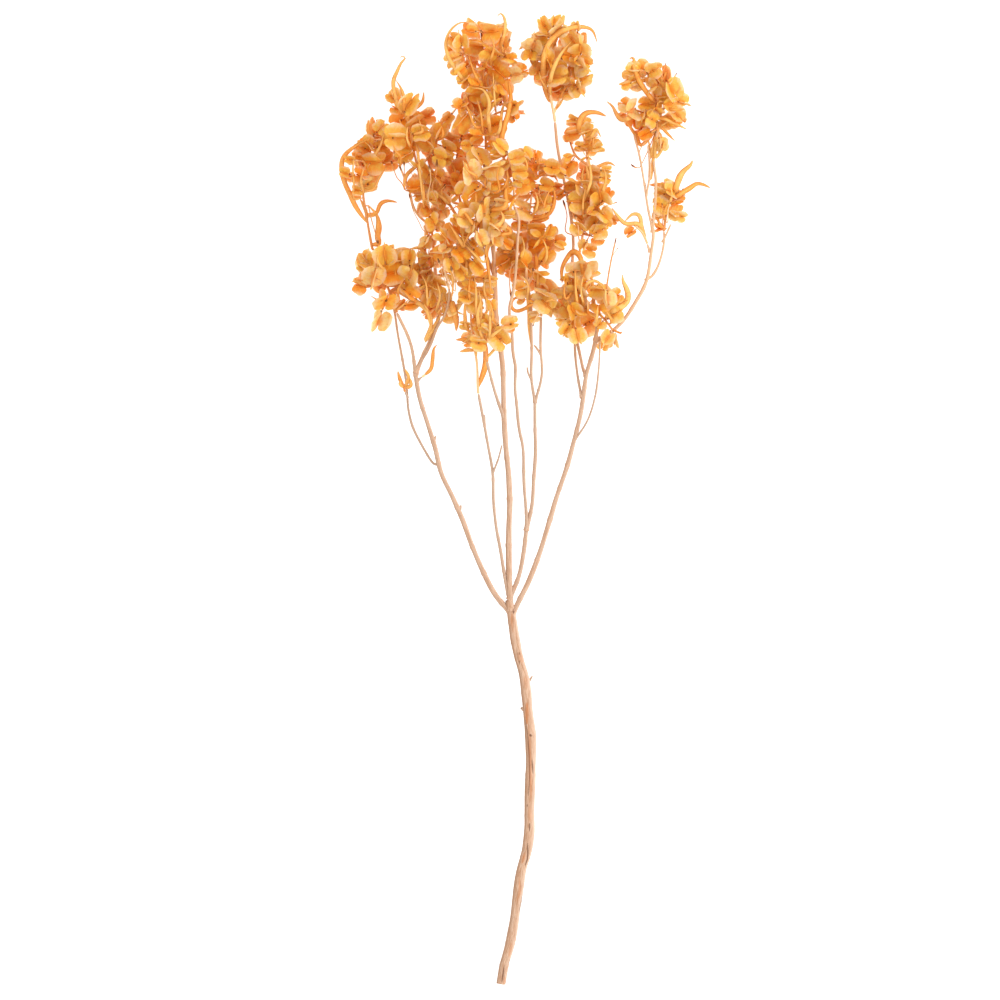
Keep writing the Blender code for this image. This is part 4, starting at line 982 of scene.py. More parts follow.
def overlap(place, radius):
    """How deep a round thing reaches into the clear spots, and the way out of the deepest one."""
    away = place[:2] - clear_middles
    gaps = np.linalg.norm(away, axis=1)
    depths = clear_radii + radius - gaps
    deepest = int(np.argmax(depths))
    return depths[deepest], away[deepest] / max(gaps[deepest], 1e-6)


def keep_clear(capsules):
    """Moves capsules out of the clear spots, and makes smaller what still reaches in."""
    for capsule in capsules:
        moved = 0.0
        for _ in range(CLEAR_ROUNDS):
            depth, way = overlap(capsule.centre, CLEAR_SHARE * capsule.radius)
            if depth > 0 and moved < MOST_MOVED:
                capsule.centre[:2] += way * min(depth, MOST_MOVED - moved)
                moved += depth
        depth, _ = overlap(capsule.centre, CLEAR_SHARE * capsule.radius)
        if depth > 0:
            capsule.radius = max(capsule.radius - depth, LEAST_RADIUS)


def fit_young(name, spray, place, radius, shift, stalk_points, draw):
    """The roomiest of some tries at a young capsule near a place, or None where each is in the way."""
    best, best_gap = None, -YOUNG_CROWDING * radius
    half = half_length(radius)
    for _ in range(YOUNG_TRIES):
        spot = plan(place, spray.height)
        spot += (draw.gauss(0, shift), draw.gauss(0, shift), draw.uniform(-1.0, 1.0) * spray.depth)
        root = nearest(stalk_points, spot, axes=3)
        if np.linalg.norm(spot - root) < half:
            spot = root + unit((spot - root) * CAPSULE_LEVEL + ASIDE) * half
        tried = hang(root, spot, radius, draw)
        if not inside_box(name, tried.corners()) or overlap(spot, CLEAR_SHARE * radius)[0] > 0:
            continue
        if room.clearance(name, [spot], radius * CORE) < WOOD_GAP:
            continue
        gap = room.clearance(name, [spot], radius, same=True)
        if gap > best_gap:
            best, best_gap = tried, gap
    return best


for number, (name, spray) in enumerate(SPRAYS.items()):
    head = heads[name]
    pull_to_trace(head.capsules)
    keep_clear(head.capsules)
    draw = random.Random(YOUNG_SEED + number)
    wanted = [(place[:2], place[2] if len(place) == 3 else SMALL, YOUNG_SHIFT)
              for place in read_places(YOUNG.get(name, ""))]
    wanted += [(draw.choice(spray.places)[:2], draw.choice(FILLER_RADII), FILLER_SHIFT)
               for _ in range(round(FILLER_SHARE * len(spray.places)))]
    for place, radius, shift in wanted:
        young = fit_young(name, spray, place, radius, shift, head.points, draw)
        if young:
            head.capsules.append(young)
            take_capsule(name, young, room)
print("capsules in all:", sum(len(head.capsules) for head in heads.values()))

# %% [markdown]
# ## Narrow leaves and threads over the heads
#
# Seen close, a head is half leaves: narrow straps and threads lie over the capsules, and some curl
# out of it. The ones that show are traced here. Each grows from the nearest stalk and then lies on
# the capsules that it passes, so its height is read from them. Some traced leaves of the solids are
# redrawn with more points, because they bend finely or end in a small hook.

# %% Traced straps and threads: width in millimetres, then plan pixels. Under 1.2 it is a thread
STRAPS = {
    "spray_left_curl": """
    1.8 354,198 354,182 353,166 356,152 / 2.4 364,194 361,180 364,168 / 2.2 373,190 379,178 385,169 / 2.6
    371,160 380,146 384,133 / 1.1 368,205 371,218 375,232 378,243 / 3 367,222 366,211 363,204 359.5,197.5
    / 2.2 376,214 372,209 368,204.5 / 3.4 376,213 378.5,207 381,202.5 386,200.5 391,200.5 397,202""",
    "spray_left_middle": """
    3 404,112 404,97 401,88 396,80 / 2.4 416,144 419,162 421,180 424,208 / 2.2 424,208 424,192 422,178 /
    2.8 443,136 441,127 438,120 / 2.6 423,132 421,126 419,120 / 2.4 401,157 396,152 393,145 / 2.8 451,206
    446,201 441,192 446,185 / 1 406,191 401,182 397,178 391,161 / 0.9 408,192 405,180 404,162 / 1.1
    439,218 437,201 432,188 436,176 437,160 / 1 430,212 428,196 431,180 429,165 / 0.7 424,231 419,222
    413,210 409,194 / 2.2 412,150 407,138 408,126""",
    "spray_column": """
    3.4 490,138 488,118 489,104 483,91 472,89 / 2.8 498,134 502,112 506,97 / 1.8 496,113 494,92 493,74 /
    2 483,134 481,115 477,100 / 2.4 476,128 470,116 466,105 / 2.2 480,84 473,70 468,52 / 2.4 490,64
    494,48 490,36 / 0.9 503,56 508,46 510,39""",
    "spray_right_middle": """
    2.6 584,203 588,190 591,179 590,168 588,154 / 2 583,216 583,200 586,187 / 3 590,138 596,129 601,137 /
    1 566,232 567,215 563,200 / 0.8 604,206 612,204 617,202 / 1.1 579,240 578,226 575,215 / 2.4 603,190
    606,178 603,167""",
    "spray_far_top": """
    3.2 641,145 637,136 632,129 626,121 / 2.8 655,158 660,153 664,145 664,136 / 3 662,118 672,122 681,126
    687,129 / 2.8 650,158 650,148 648,138 / 0.8 662,76 664,68 666,63 / 0.8 670,84 674,77 677,73 / 2.4
    667,108 676,110 685,109 / 2.8 650,181 650,170 649.5,158 648,145 / 0.8 640,150 642,168 646,188 / 0.9
    640,167 635,167 631,164""",
    "spray_far_low": """
    0.9 663,226 663,212 662,203 / 1 668,222 668,210 671,202 / 2.2 668,206 672,196 671,186""",
    "spray_centre_back": (
        "2.2 456,175 454,168 450,159 / 2.6 458,216 450,205 443,192 / 1 447,210 443,198 445,184"),
    "spray_centre_front": """
    4 505,208 506,192 510,177 / 4.6 490,230 499,226 504,219 500,211 / 2.8 474,226 466,215 455,206 / 2.4
    477,178 468,172 464,163 / 1.8 499,192 497,176 501,162 / 3.4 511,233 504,227 497,229 / 3 487,252
    488,266 490,280 491,294 / 2.6 489,240 486,250 485,262""",
    "spray_centre_left": """
    1.2 465,247 463,238 464,228 / 3.6 464,248 457,237 449,224 / 1 450,290 446,284 442,272 438,259 / 2
    484,263 486,250 482,240 / 1.1 455,292 455,282 451,267 / 2.4 451,272 453,284 452,298""",
    "spray_centre_right": """
    2 543,216 545,201 552,187 / 1 544,208 540,198 538,187 / 3 531,312 528,300 528,285 522,276 / 2.8
    540,302 538,285 538,268 / 1 537,294 534,281 533,268 / 2.4 545,262 547,250 543,240 / 2.2 520,262
    524,248 521,236 / 2.4 533,215 538,203 535,192 / 3.2 528,300 529,315 529.5,330 531,346 / 1.1 511,268
    509.5,282 511.5,298""",
    "spray_left_low": "2 399,302 398,290 404,280 / 2 386,300 378,300 371,296 / 2.2 384,270 378,262 379,252",
    "spray_left_inner": """
    3.4 425,342 431,327 431,316 424,304 / 2.4 436,312 440,296 437,282 / 2 428,300 426,284 421,274 / 2
    445,316 442,304 444,292""",
    "spray_centre_low": "2.4 489,340 490,322 490,304 / 3 489,338 496,333 503,328",
    "spray_centre_low_left": """
    2.2 478,326 476,310 476,293 474,275 / 3 467,330 465,316 465,303 / 2.4 470,304 469,290 470,277 / 2.2
    480,322 481,306 479,290 / 2.6 486,314 487,302 484,290 486,276""",
    "spray_right_inner": "1 540,312 536,318 533,326 / 2 546,302 552,300 558,304",
    "spray_right_low": """
    2.8 583,294 587,284 594,281 600,284 605,291 / 2.6 579,310 576,294 575,270 / 2 584,306 581,292 583,276
    / 3 596,322 597,314 598,306 / 2.2 612,322 609,316 605,310 / 2.8 615,306 619,300 623,295 / 2.2 566,300
    564,290 567,280 / 0.8 610,262 613,255 618,248""",
}
REDRAWN = {  # by head and by the leaf's place in the head's list
    "spray_left_curl": {
        0: "4.4 366,221 360,213 354.5,204 350,194 345,183 342,171 343,158 350,150 359,144 368,139",
        1: "5.2 378.5,243 377.5,236 379,227 378,218 375,211"},
    "spray_left_middle": {
        0: "3.6 402,113 396,98 393.5,82 398,70 402,62 405.6,58 402.5,55.5 400,58"},
    "spray_column": {
        0: "3.2 464,80 458,73 452,64 447.5,54 446,43 450,32 458.5,24 467,22.5",
        1: "3.2 500,48 504,36 505.5,25 504,17 500.5,13.5 497,17",
        2: "4.6 499,150 503,132 509,112 511,95 508,79"},
    "spray_top": {
        0: "5.4 549,101 544.5,85 543.5,69 545,54 550,43 559,34 571,29 583,27.5 592,30.5 597,42",
        1: "3.8 551,98 550,86 552,74 557,62 563,52 571,43"},
    "spray_right_middle": {
        0: "5 579,131 580,121 586,113.5 596,112.5 606,116"},
    "spray_far_top": {
        0: "4.4 656,104 649,95 641,83.5 636.5,74 633.5,65 634.5,60 632,56.5 629.5,58.5",
        1: "4.2 632,116 622,119.5 616.5,113 613,106 607,101"},
    "spray_far_low": {
        0: "5.4 675,192 678,182 683,172 688,167.5 691,165 693,160",
        1: "4.4 675,197 685,191 691,187.5 697,183.5 704,184.5 710.5,187.5",
        2: "5 674,194 667,187.5 658,184 650,184,5"},
    "spray_left_inner": {
        2: "6 451,303 454,313 456,322 456,331"},
    "spray_right_inner": {
        0: "3 541,305 531,305 524,309 516,311 511.5,307 513,300 520,297 526,300"},
    "spray_right_low": {
        0: "4.4 584,276 580,257 573,251.5 565.5,260 561.5,270 562,283",
        1: "5.4 610,313 620,308 627,302 628.5,295 626,287 623,281 622.5,275"},
    "leaf_right_fork": {
        1: "3.4 645.5,239 642,227 639.5,215 633,213.5 625,221"},
}
STRAP_STEP = 1.8
THREAD_WIDTH = 1.2
TOP_SHARE = 0.75  # how high over a capsule's middle a strap lies, in the capsule's radii
SOFTEN = 4  # points on each side that a strap's height is evened over
RISE_SHARE = 0.3  # the first part of a strap, in which it climbs onto the capsules
RISE_POWER = 0.6
BOX_INSET = (1.2, -0.8)  # how far inside its head's box a strap stays, below and above


def top_of_head(head, spot):
    """The height over the highest capsule at a place in plan, or of the nearest stalk."""
    over = [capsule.centre[2] + TOP_SHARE * capsule.radius for capsule in head.capsules
            if np.linalg.norm(capsule.centre[:2] - spot[:2]) < capsule.radius]
    return max(over, default=nearest(head.points, spot)[2])


def lay_on_top(name, route):
    """A traced line that grows from the nearest stalk and then lies on its head's capsules."""
    head = heads[name]
    start = nearest(head.points, plan(route[0], 0.0))
    line = smooth(np.vstack((start * (1, 1, 0), lay_flat(route))), STRAP_STEP)
    heights = np.array([top_of_head(head, spot) for spot in line])
    even = np.full(2 * SOFTEN + 1, 1 / (2 * SOFTEN + 1))
    heights = np.convolve(np.pad(heights, SOFTEN, "edge"), even, "valid")
    rise = np.clip(shares(line) / RISE_SHARE, 0, 1) ** RISE_POWER
    line[:, 2] = start[2] + (heights - start[2]) * rise
    line[:, 2] = np.clip(line[:, 2], *boxes[name][:, 2] + BOX_INSET)
    return line


straps = {name: [(width, lay_on_top(name, route)) for width, route in read_lines(traced)]
          for name, traced in STRAPS.items()}
for name, leaves in REDRAWN.items():
    for place, traced in leaves.items():
        width, route = read_lines(traced)[0]
        tilt = heads[name].leaves[place][2]
        if len(route[-1]) == 3:
            line = raise_route(route, heads[name].leaves[place][0][0, 2])
        else:
            line = lay_on_top(name, route)
        heads[name].leaves[place] = (line, width, tilt)
print("straps and threads:", sum(len(laid) for laid in straps.values()))

# %% [markdown]
# ## Node graphs in plain Python
#
# Materials and Geometry Nodes trees are graphs. Writing each node by hand is long, so two small
# classes help. `Value` wraps a node's output, and arithmetic on it adds a Math node, a Vector
# Math node or a Mix node. `Graph.node` makes any other node: first its settings, then its sockets.

# %% Two classes for building node graphs
class Value:
    """A node's output that takes part in arithmetic."""

    def __init__(self, graph, socket):
        self.graph = graph
        self.socket = socket

    def __add__(self, other):
        return self.graph.combine("ADD", self, other)

    def __radd__(self, other):
        return self.graph.combine("ADD", other, self)

    def __sub__(self, other):
        return self.graph.combine("SUBTRACT", self, other)

    def __rsub__(self, other):
        return self.graph.combine("SUBTRACT", other, self)

    def __mul__(self, other):
        return self.graph.combine("MULTIPLY", self, other)

    def __rmul__(self, other):
        return self.graph.combine("MULTIPLY", other, self)

    def __abs__(self):
        return self.graph.node("ShaderNodeMath", {"operation": "ABSOLUTE"}, {0: self})


class Graph:
    """The nodes of one material or one Geometry Nodes tree."""

    def __init__(self, tree):
        self.tree = tree

    def node(self, kind, settings=None, values=None, out=None):
        """A node: its settings are set first, then the values or links of its sockets."""
        made = self.tree.nodes.new(kind)
        for name, setting in (settings or {}).items():
            setattr(made, name, setting)
        for name, value in (values or {}).items():
            socket = made.inputs[name] if isinstance(name, int) else self.named(made.inputs, name)
            if isinstance(value, Value):
                self.tree.links.new(value.socket, socket)
            else:
                socket.default_value = value
        return Value(self, self.named(made.outputs, out) if made.outputs else None)

    @staticmethod
    def named(sockets, name):
        """The first socket in use that has a name, or the first in use where no name is given."""
        return next(s for s in sockets if s.enabled and name in (None, s.name))

    def combine(self, operation, first, second):
        """Two values, vectors or colours in one sum."""
        kinds = {v.socket.type for v in (first, second) if isinstance(v, Value)}
        if "RGBA" in kinds:
            first, second = [(v, v, v, 1.0) if isinstance(v, (int, float)) else v for v in (first, second)]
            return self.node("ShaderNodeMix", {"data_type": "RGBA", "blend_type": operation},
                             {"Factor": 1.0, "A": first, "B": second})
        if "VECTOR" in kinds:
            first, second = [(v, v, v) if isinstance(v, (int, float)) else v for v in (first, second)]
            return self.node("ShaderNodeVectorMath", {"operation": operation}, {0: first, 1: second})
        return self.node("ShaderNodeMath", {"operation": operation}, {0: first, 1: second})

    def mix(self, factor, first, second):
        """The first colour where factor is 0 and the second where it is 1."""
        return self.node("ShaderNodeMix", {"data_type": "RGBA"}, {
            "Factor": factor, "A": first, "B": second})

    def step(self, value, low, high, start=0.0, end=1.0):
        """A soft step from start to end while the value goes from low to high."""
        return self.node("ShaderNodeMapRange", {"interpolation_type": "SMOOTHSTEP"}, {
            "Value": value, "From Min": low, "From Max": high, "To Min": start, "To Max": end})

    def attribute(self, name, out="Fac"):
        """A value that the mesh carries at each vertex."""
        return self.node("ShaderNodeAttribute", {"attribute_name": name}, out=out)

    def attributes(self, *names):
        """Several such values."""
        return [self.attribute(name) for name in names]

    def vector(self, x, y, z):
        """Three values as a vector."""
        return self.node("ShaderNodeCombineXYZ", None, {"X": x, "Y": y, "Z": z})

    def noise(self, vector, scale, detail=2.0, roughness=0.5, distortion=0.0):
        """Soft random spots, from 0 to 1."""
        return self.node("ShaderNodeTexNoise", None, {
            "Vector": vector, "Scale": scale, "Detail": detail, "Roughness": roughness,
            "Distortion": distortion}, "Fac")


def rgb(red, green, blue):
    """A colour as a picture stores it, from 0 to 255, as the linear colour that shaders use."""
    linear = [v / 255 / 12.92 if v <= 10 else ((v / 255 + 0.055) / 1.055) ** 2.4
              for v in (red, green, blue)]
    return (*linear, 1.0)


def new_material(name, shader_settings):
    """A material's graph, with its Principled shader's constant sockets set."""
    made = bpy.data.materials.new(name)
    made.use_nodes = True
    graph = Graph(made.node_tree)
    shader = made.node_tree.nodes["Principled BSDF"]
    set_sockets(shader, shader_settings)
    return made, graph, shader


def finish_skin(graph, shader, colour, strength, distance, height):
    """Links a colour and a bump, whose distance is in metres, to a shader, and returns the bump."""
    graph.tree.links.new(colour.socket, shader.inputs["Base Color"])
    bump = graph.node("ShaderNodeBump", None, {
        "Strength": strength, "Distance": distance, "Height": height}, "Normal")
    graph.tree.links.new(bump.socket, shader.inputs["Normal"])
    return bump


def let_light_through(graph, shader, share, values):
    """Mixes a share of light that shines through from behind into a material."""
    through = graph.node("ShaderNodeBsdfTranslucent", None, values)
    both = graph.node("ShaderNodeMixShader", None, {
        "Fac": share, 1: Value(graph, shader.outputs["BSDF"]), 2: through})
    graph.tree.links.new(both.socket, graph.tree.nodes["Material Output"].inputs["Surface"])


print("graph helpers are ready")

# %% [markdown]
# ## The papery wings
#
# A wing is a dry membrane, thinner than paper. Three things make it look like one. Part of the
# light goes through it, so the shader mixes Principled with Translucent. Its colour pales from
# the seeds to the rim, where there is only one layer of skin, and the pale rim also paints the
# light that shines through there. And fine veins fan out from the axis, so the noise that draws
# them is stretched across the wing. Each capsule brings its own `tone`, because some dried paler
# than others, and lower capsules get a deeper tone as painted shade. The colour is also deeper
# in the troughs of the creases and paler on their crests, as painted shade and light.

# %% The wing material
WING_DEEP = rgb(255, 158, 16)
WING_ORANGE = rgb(250, 200, 77)
WING_PALE = rgb(250, 223, 154)
WING_RIM_LIT_THROUGH = rgb(255, 249, 241)
WING_SEAM = rgb(236, 108, 8)
SEED_BROWN = rgb(110, 48, 18)
WING_LIGHT_THROUGH = (1.0, 0.88, 0.62, 1.0)


def make_wing_material():
    """Thin orange membrane with pale rims, creases, veins and dark seeds."""
    made, graph, shader = new_material("papery_wing", {
        "Roughness": 0.6, "Specular IOR Level": 0.2})
    radial, along, tone, seed = graph.attributes("radial", "along", "tone", "seed")
    place = graph.node("ShaderNodeTexCoord", out="Object")
    across_veins = graph.vector(along * 5.0, radial * 0.9, tone * 31.0)
    veins = graph.noise(across_veins, scale=3.2, detail=3.0, roughness=0.6, distortion=0.6)
    vein_lines = graph.step(abs(veins - 0.5), 0.0, 0.04, 1.0, 0.0)
    across_creases = graph.vector(along * 1.7, radial * 0.5, tone * 47.0)
    creases = graph.noise(across_creases, scale=3.6, distortion=1.1)
    blotches = graph.noise(place, scale=190.0, detail=3.0, roughness=0.55)
    # Crease troughs are painted deeper and crests paler, as painted shade and light; the blotches are tone
    # at random.
    crease_shade_and_blotches = (blotches - 0.5) * 0.8 + (creases - 0.5) * 0.9
    colour = graph.mix(graph.step(tone + crease_shade_and_blotches, 0.1, 0.6), WING_DEEP, WING_ORANGE)
    colour = graph.mix(graph.step(tone + crease_shade_and_blotches, 0.55, 1.1), colour, WING_PALE)
    # The rim pales: its skin is thinner, and its pale colour also paints the light that shines through it.
    rim = graph.step(radial + (veins - 0.5) * 0.5 + (blotches - 0.5) * 0.3, 0.55, 1.02)
    colour = graph.mix(rim * (0.42 + 0.55 * tone), colour, WING_RIM_LIT_THROUGH)
    colour = graph.mix(vein_lines * 0.4, colour, WING_SEAM)
    seam = graph.step(radial, 0.05, 0.42, 1.0, 0.0)
    colour = graph.mix(seam * 0.55, colour, WING_SEAM)
    spot = graph.noise(graph.vector(along * 2.0, tone * 57.0, radial), scale=4.0, detail=1.0)
    colour = graph.mix(graph.step(spot, 0.62, 0.68) * seed, colour, SEED_BROWN)
    bump = finish_skin(graph, shader, colour, strength=0.8, distance=0.0009,
                       height=creases * 0.8 + veins * 0.35 + blotches * 0.3)
    let_light_through(graph, shader, 0.36 + rim * 0.42 - seam * 0.16,
                      {"Color": WING_LIGHT_THROUGH, "Normal": bump})
    return made


wing_material = make_wing_material()
print("nodes in the wing material:", len(wing_material.node_tree.nodes))

# %% [markdown]
# The dried leaves are a thicker blade with a pale midrib, and the stalks are plain fibre. They
# share one way of working: `across` says how far from the midrib a point lies, and `run` how far
# it is along the leaf or stalk, both left on the mesh by the sweep below.

# %% The leaf and stalk materials
LEAF_ORANGE = rgb(250, 165, 64)
LEAF_PALE = rgb(255, 200, 112)
LEAF_BROWN = rgb(206, 108, 30)
STALK_PEACH = rgb(255, 214, 160)
STALK_BROWN = rgb(224, 150, 86)


def make_leaf_material():
    """A dry leaf: pale midrib, fine side veins, browner towards its edges and tip."""
    made, graph, shader = new_material("dried_leaf", {"Roughness": 0.6, "Specular IOR Level": 0.4})
    across = abs(graph.attribute("across"))
    run, share, tone = graph.attributes("run", "share", "tone")
    place = graph.node("ShaderNodeTexCoord", out="Object")
    blotches = graph.noise(place, scale=240.0, detail=4.0, roughness=0.6)
    colour = graph.mix(graph.step(tone + (blotches - 0.5) * 0.8, 0.1, 0.9), LEAF_ORANGE, LEAF_PALE)
    colour = graph.mix(graph.step(across, 0.08, 0.22, 0.6, 0.0), colour, LEAF_PALE)
    slanted = graph.vector(run * 900.0 + across * 1.6, across * 0.4, tone * 9.0)
    side_veins = graph.noise(slanted, scale=1.0)
    colour = graph.mix(graph.step(side_veins, 0.52, 0.66) * 0.35, colour, LEAF_BROWN)
    worn = graph.step(share * 0.55 + across * 0.45 + (blotches - 0.5) * 0.5, 0.62, 1.05)
    colour = graph.mix(worn * 0.45, colour, LEAF_BROWN)
    finish_skin(graph, shader, colour, strength=0.6, distance=0.0004,
                height=side_veins * 0.5 + blotches * 0.6)
    let_light_through(graph, shader, 0.2, {"Color": WING_LIGHT_THROUGH})
    return made


def make_stalk_material():
    """A thread-like stalk: peach fibre with browner stretches and a dark tip."""
    made, graph, shader = new_material("capsule_stalk", {"Roughness": 0.7, "Specular IOR Level": 0.3})
    run, tone = graph.attributes("run", "tone")
    rim = graph.attribute("rim", "Vector")
    fibre = graph.noise(rim * 1.5 + graph.vector(run * 90.0, tone * 17.0, 0.0), scale=2.5, detail=3.0)
    colour = graph.mix(graph.step(fibre + (tone - 0.5) * 0.8, 0.3, 0.75), STALK_BROWN, STALK_PEACH)
    colour = graph.mix(graph.step(graph.attribute("share"), 0.9, 0.95) * 0.85, colour, SEED_BROWN)
    finish_skin(graph, shader, colour, strength=0.4, distance=0.0003, height=fibre)
    return made


leaf_material = make_leaf_material()
stalk_material = make_stalk_material()
print("leaf and stalk materials are ready")

# %% [markdown]
# ## The bleached wood
#
# The stem was peeled and bleached, so it is pale peach with fine fibres along it, thin dark
# cracks, and orange patches where dye soaked into the bared wood. Fibres must follow every bend,
# so the pattern reads `rim` (which way a point faces round the stem) and `run` (how far it is
# along the stem). The patches and cracks sit at places of their own, and come as `stain` and
# `crack` values on the mesh. A side value on the mesh is 1 on the left, which is painted darker
# and greyer as shade, and -1 on the right, which is painted paler as light from the right. Up in
# the heads the twigs took the dye as well, and their dyed colour is also paler, as painted light
# where the heads shade them.

# %% The wood material
WOOD_PEACH = rgb(224, 187, 158)
WOOD_SHADE = rgb(176, 122, 84)
WOOD_THIN = rgb(202, 171, 147)
WOOD_STAIN = rgb(206, 118, 52)
WOOD_CRACK = rgb(112, 66, 40)
WOOD_GREY = rgb(150, 108, 76)
WOOD_LIT_SIDE = rgb(236, 208, 186)
WOOD_DYED_AND_LIT = rgb(238, 192, 146)
DYED_LIT_FROM, DYED_LIT_FULLY = 0.06, 0.17  # metres along the branch


def make_wood_material():
    """Peeled wood with fibres, cracks and patches of dye, painted shade on its left side and painted light
    on its right.
    """
    made, graph, shader = new_material("bleached_peeled_wood", {"Specular IOR Level": 0.35})
    rim = graph.attribute("rim", "Vector")
    run, thick, stain, crack = graph.attributes("run", "thickness", "stain", "crack")
    fine_grain = rim * 3.2 + graph.vector(0.0, 0.0, run * 42.0)
    fibres = graph.noise(fine_grain, scale=3.4, detail=5.0, roughness=0.65)
    broad = graph.noise(rim * 0.7 + graph.vector(0.0, 0.0, run * 26.0), scale=1.6, detail=3.0)
    colour = graph.mix(graph.step(fibres * 0.65 + broad * 0.35, 0.38, 0.58), WOOD_SHADE, WOOD_PEACH)
    colour = graph.mix(graph.step(thick, 0.0008, 0.0026, 0.7, 0.0), colour, WOOD_THIN)
    grey = graph.step(broad, 0.56, 0.72) * graph.step(fibres, 0.45, 0.6)
    colour = graph.mix(grey * 0.25, colour, WOOD_GREY)
    # The left side is painted darker and greyer as shade, most on thick wood, and the right side paler as
    # painted light.
    flank = graph.attribute("flank") + (broad - 0.5) * 0.5
    painted_side_shade = graph.step(flank, 0.35, 1.0) * graph.step(thick, 0.001, 0.0034, 0.25, 0.75)
    colour = graph.mix(painted_side_shade, colour, WOOD_GREY)
    colour = graph.mix(graph.step(flank, -0.95, -0.35, 0.6, 0.0), colour, WOOD_LIT_SIDE)
    place = graph.node("ShaderNodeTexCoord", out="Object")
    along = graph.node("ShaderNodeSeparateXYZ", None, {"Vector": place}, "Y")
    # Towards the heads the wood takes a paler dyed colour: dye, and painted light against the shade that
    # the heads cast.
    dyed = graph.step(along + (fibres - 0.5) * 0.06, DYED_LIT_FROM, DYED_LIT_FULLY)
    colour = graph.mix(dyed * 0.75, colour, WOOD_DYED_AND_LIT)
    ragged = stain * graph.step(fibres, 0.34, 0.6)
    colour = graph.mix(ragged, colour, WOOD_STAIN)
    hairline = graph.step(abs(fibres - 0.47), 0.0, 0.012, 1.0, 0.0) * graph.step(broad, 0.5, 0.6)
    split = graph.step(crack + (fibres - 0.5) * 0.8, 0.2, 0.9)
    colour = graph.mix(hairline * 0.5, colour, WOOD_SHADE)
    colour = graph.mix(split * 0.85, colour, WOOD_CRACK)
    roughness = 0.66 + (fibres - 0.5) * 0.25 + ragged * 0.08
    graph.tree.links.new(roughness.socket, shader.inputs["Roughness"])
    finish_skin(graph, shader, colour, strength=0.7, distance=0.0005,
                height=fibres * 0.9 - split * 0.8 - hairline * 0.3)
    return made


wood_material = make_wood_material()
print("nodes in the wood material:", len(wood_material.node_tree.nodes))

# %% [markdown]
# ## The sweep
#
# Stem, twigs, stalks, threads and leaves are all one idea: a section that travels along a line
# and grows or shrinks on the way. One Geometry Nodes tree does that. The line comes in as a mesh
# of edges whose vertices carry `thickness` and `tilt`, and a round or leaf-shaped section comes
# in as an object. Its normal stays level, so that a leaf lies flat unless `tilt` rolls it.

# %% A Geometry Nodes tree that sweeps a section along lines
def new_tree(name, inputs):
    """An empty Geometry Nodes tree with named inputs, its graph, and those inputs as values."""
    tree = bpy.data.node_groups.new(name, "GeometryNodeTree")
    tree.interface.new_socket("Geometry", in_out="OUTPUT", socket_type="NodeSocketGeometry")
    for label, kind in inputs:
        tree.interface.new_socket(label, in_out="INPUT", socket_type="NodeSocket" + kind)
    start = tree.nodes.new("NodeGroupInput")
    graph = Graph(tree)
    return tree, graph, {label: Value(graph, start.outputs[label]) for label, _ in inputs}


def finish_tree(graph, geometry):
    """Links the last geometry to the tree's output."""
    end = graph.tree.nodes.new("NodeGroupOutput")
    graph.tree.links.new(geometry.socket, end.inputs["Geometry"])


def named_attribute(graph, name, kind="FLOAT"):
    """A value of each vertex, by its name."""
    return graph.node("GeometryNodeInputNamedAttribute", {"data_type": kind}, {"Name": name}, "Attribute")


def make_sweep_tree():
    """Sweeps a section along lines, then roughens the skin with noise along the line."""
    tree, graph, given = new_tree("sweep_along_lines", (
        ("Lines", "Geometry"), ("Section", "Object"), ("Relief", "Float"), ("Relief Scale", "Float"),
        ("Material", "Material")))
    curve = graph.node("GeometryNodeMeshToCurve", None, {"Mesh": given["Lines"]})
    curve = graph.node("GeometryNodeSetCurveNormal", {"mode": "Z_UP"}, {"Curve": curve})
    curve = graph.node("GeometryNodeSetCurveTilt", None, {
        "Curve": curve, "Tilt": named_attribute(graph, "tilt")})
    section = graph.node("GeometryNodeObjectInfo", None, {"Object": given["Section"]}, "Geometry")
    section = graph.node("GeometryNodeMeshToCurve", None, {"Mesh": section})
    swept = graph.node("GeometryNodeCurveToMesh", None, {
        "Curve": curve, "Profile Curve": section, "Scale": named_attribute(graph, "thickness"),
        "Fill Caps": True})
    around = named_attribute(graph, "rim", "FLOAT_VECTOR")
    run = named_attribute(graph, "run")
    tone = named_attribute(graph, "tone")
    grain = around * 0.8 + graph.vector(tone * 40.0, 0.0, run * 60.0)
    skin = graph.noise(grain, given["Relief Scale"], detail=3.0)
    normal = graph.node("GeometryNodeInputNormal", out="Normal")
    rough = graph.node("GeometryNodeSetPosition", None, {
        "Geometry": swept, "Offset": normal * ((skin - 0.5) * given["Relief"])})
    even = graph.node("GeometryNodeSetShadeSmooth", None, {"Geometry": rough})
    painted = graph.node("GeometryNodeSetMaterial", None, {
        "Geometry": even, "Material": given["Material"]})
    finish_tree(graph, graph.node("GeometryNodeRealizeInstances", None, {"Geometry": painted}))
    return tree


def run_tree(made, tree, values):
    """Runs a tree on an object, by the identifiers of its inputs, and returns the finished mesh."""
    modifier = made.modifiers.new(tree.name, "NODES")
    modifier.node_group = tree
    for socket in tree.interface.items_tree:
        if socket.in_out == "INPUT" and socket.name in values:
            modifier[socket.identifier] = values[socket.name]
    evaluated = made.evaluated_get(bpy.context.evaluated_depsgraph_get())
    mesh = bpy.data.meshes.new_from_object(evaluated)
    made.modifiers.remove(modifier)
    return mesh


def add_values(mesh, kind, **values):
    """Gives each vertex of a mesh its values, by name."""
    field = "vector" if kind == "FLOAT_VECTOR" else "value"
    number_type = np.int32 if kind == "INT" else np.float32
    for name, numbers in values.items():
        layer = mesh.attributes.new(name, kind, "POINT")
        layer.data.foreach_set(field, np.asarray(numbers, number_type).ravel())


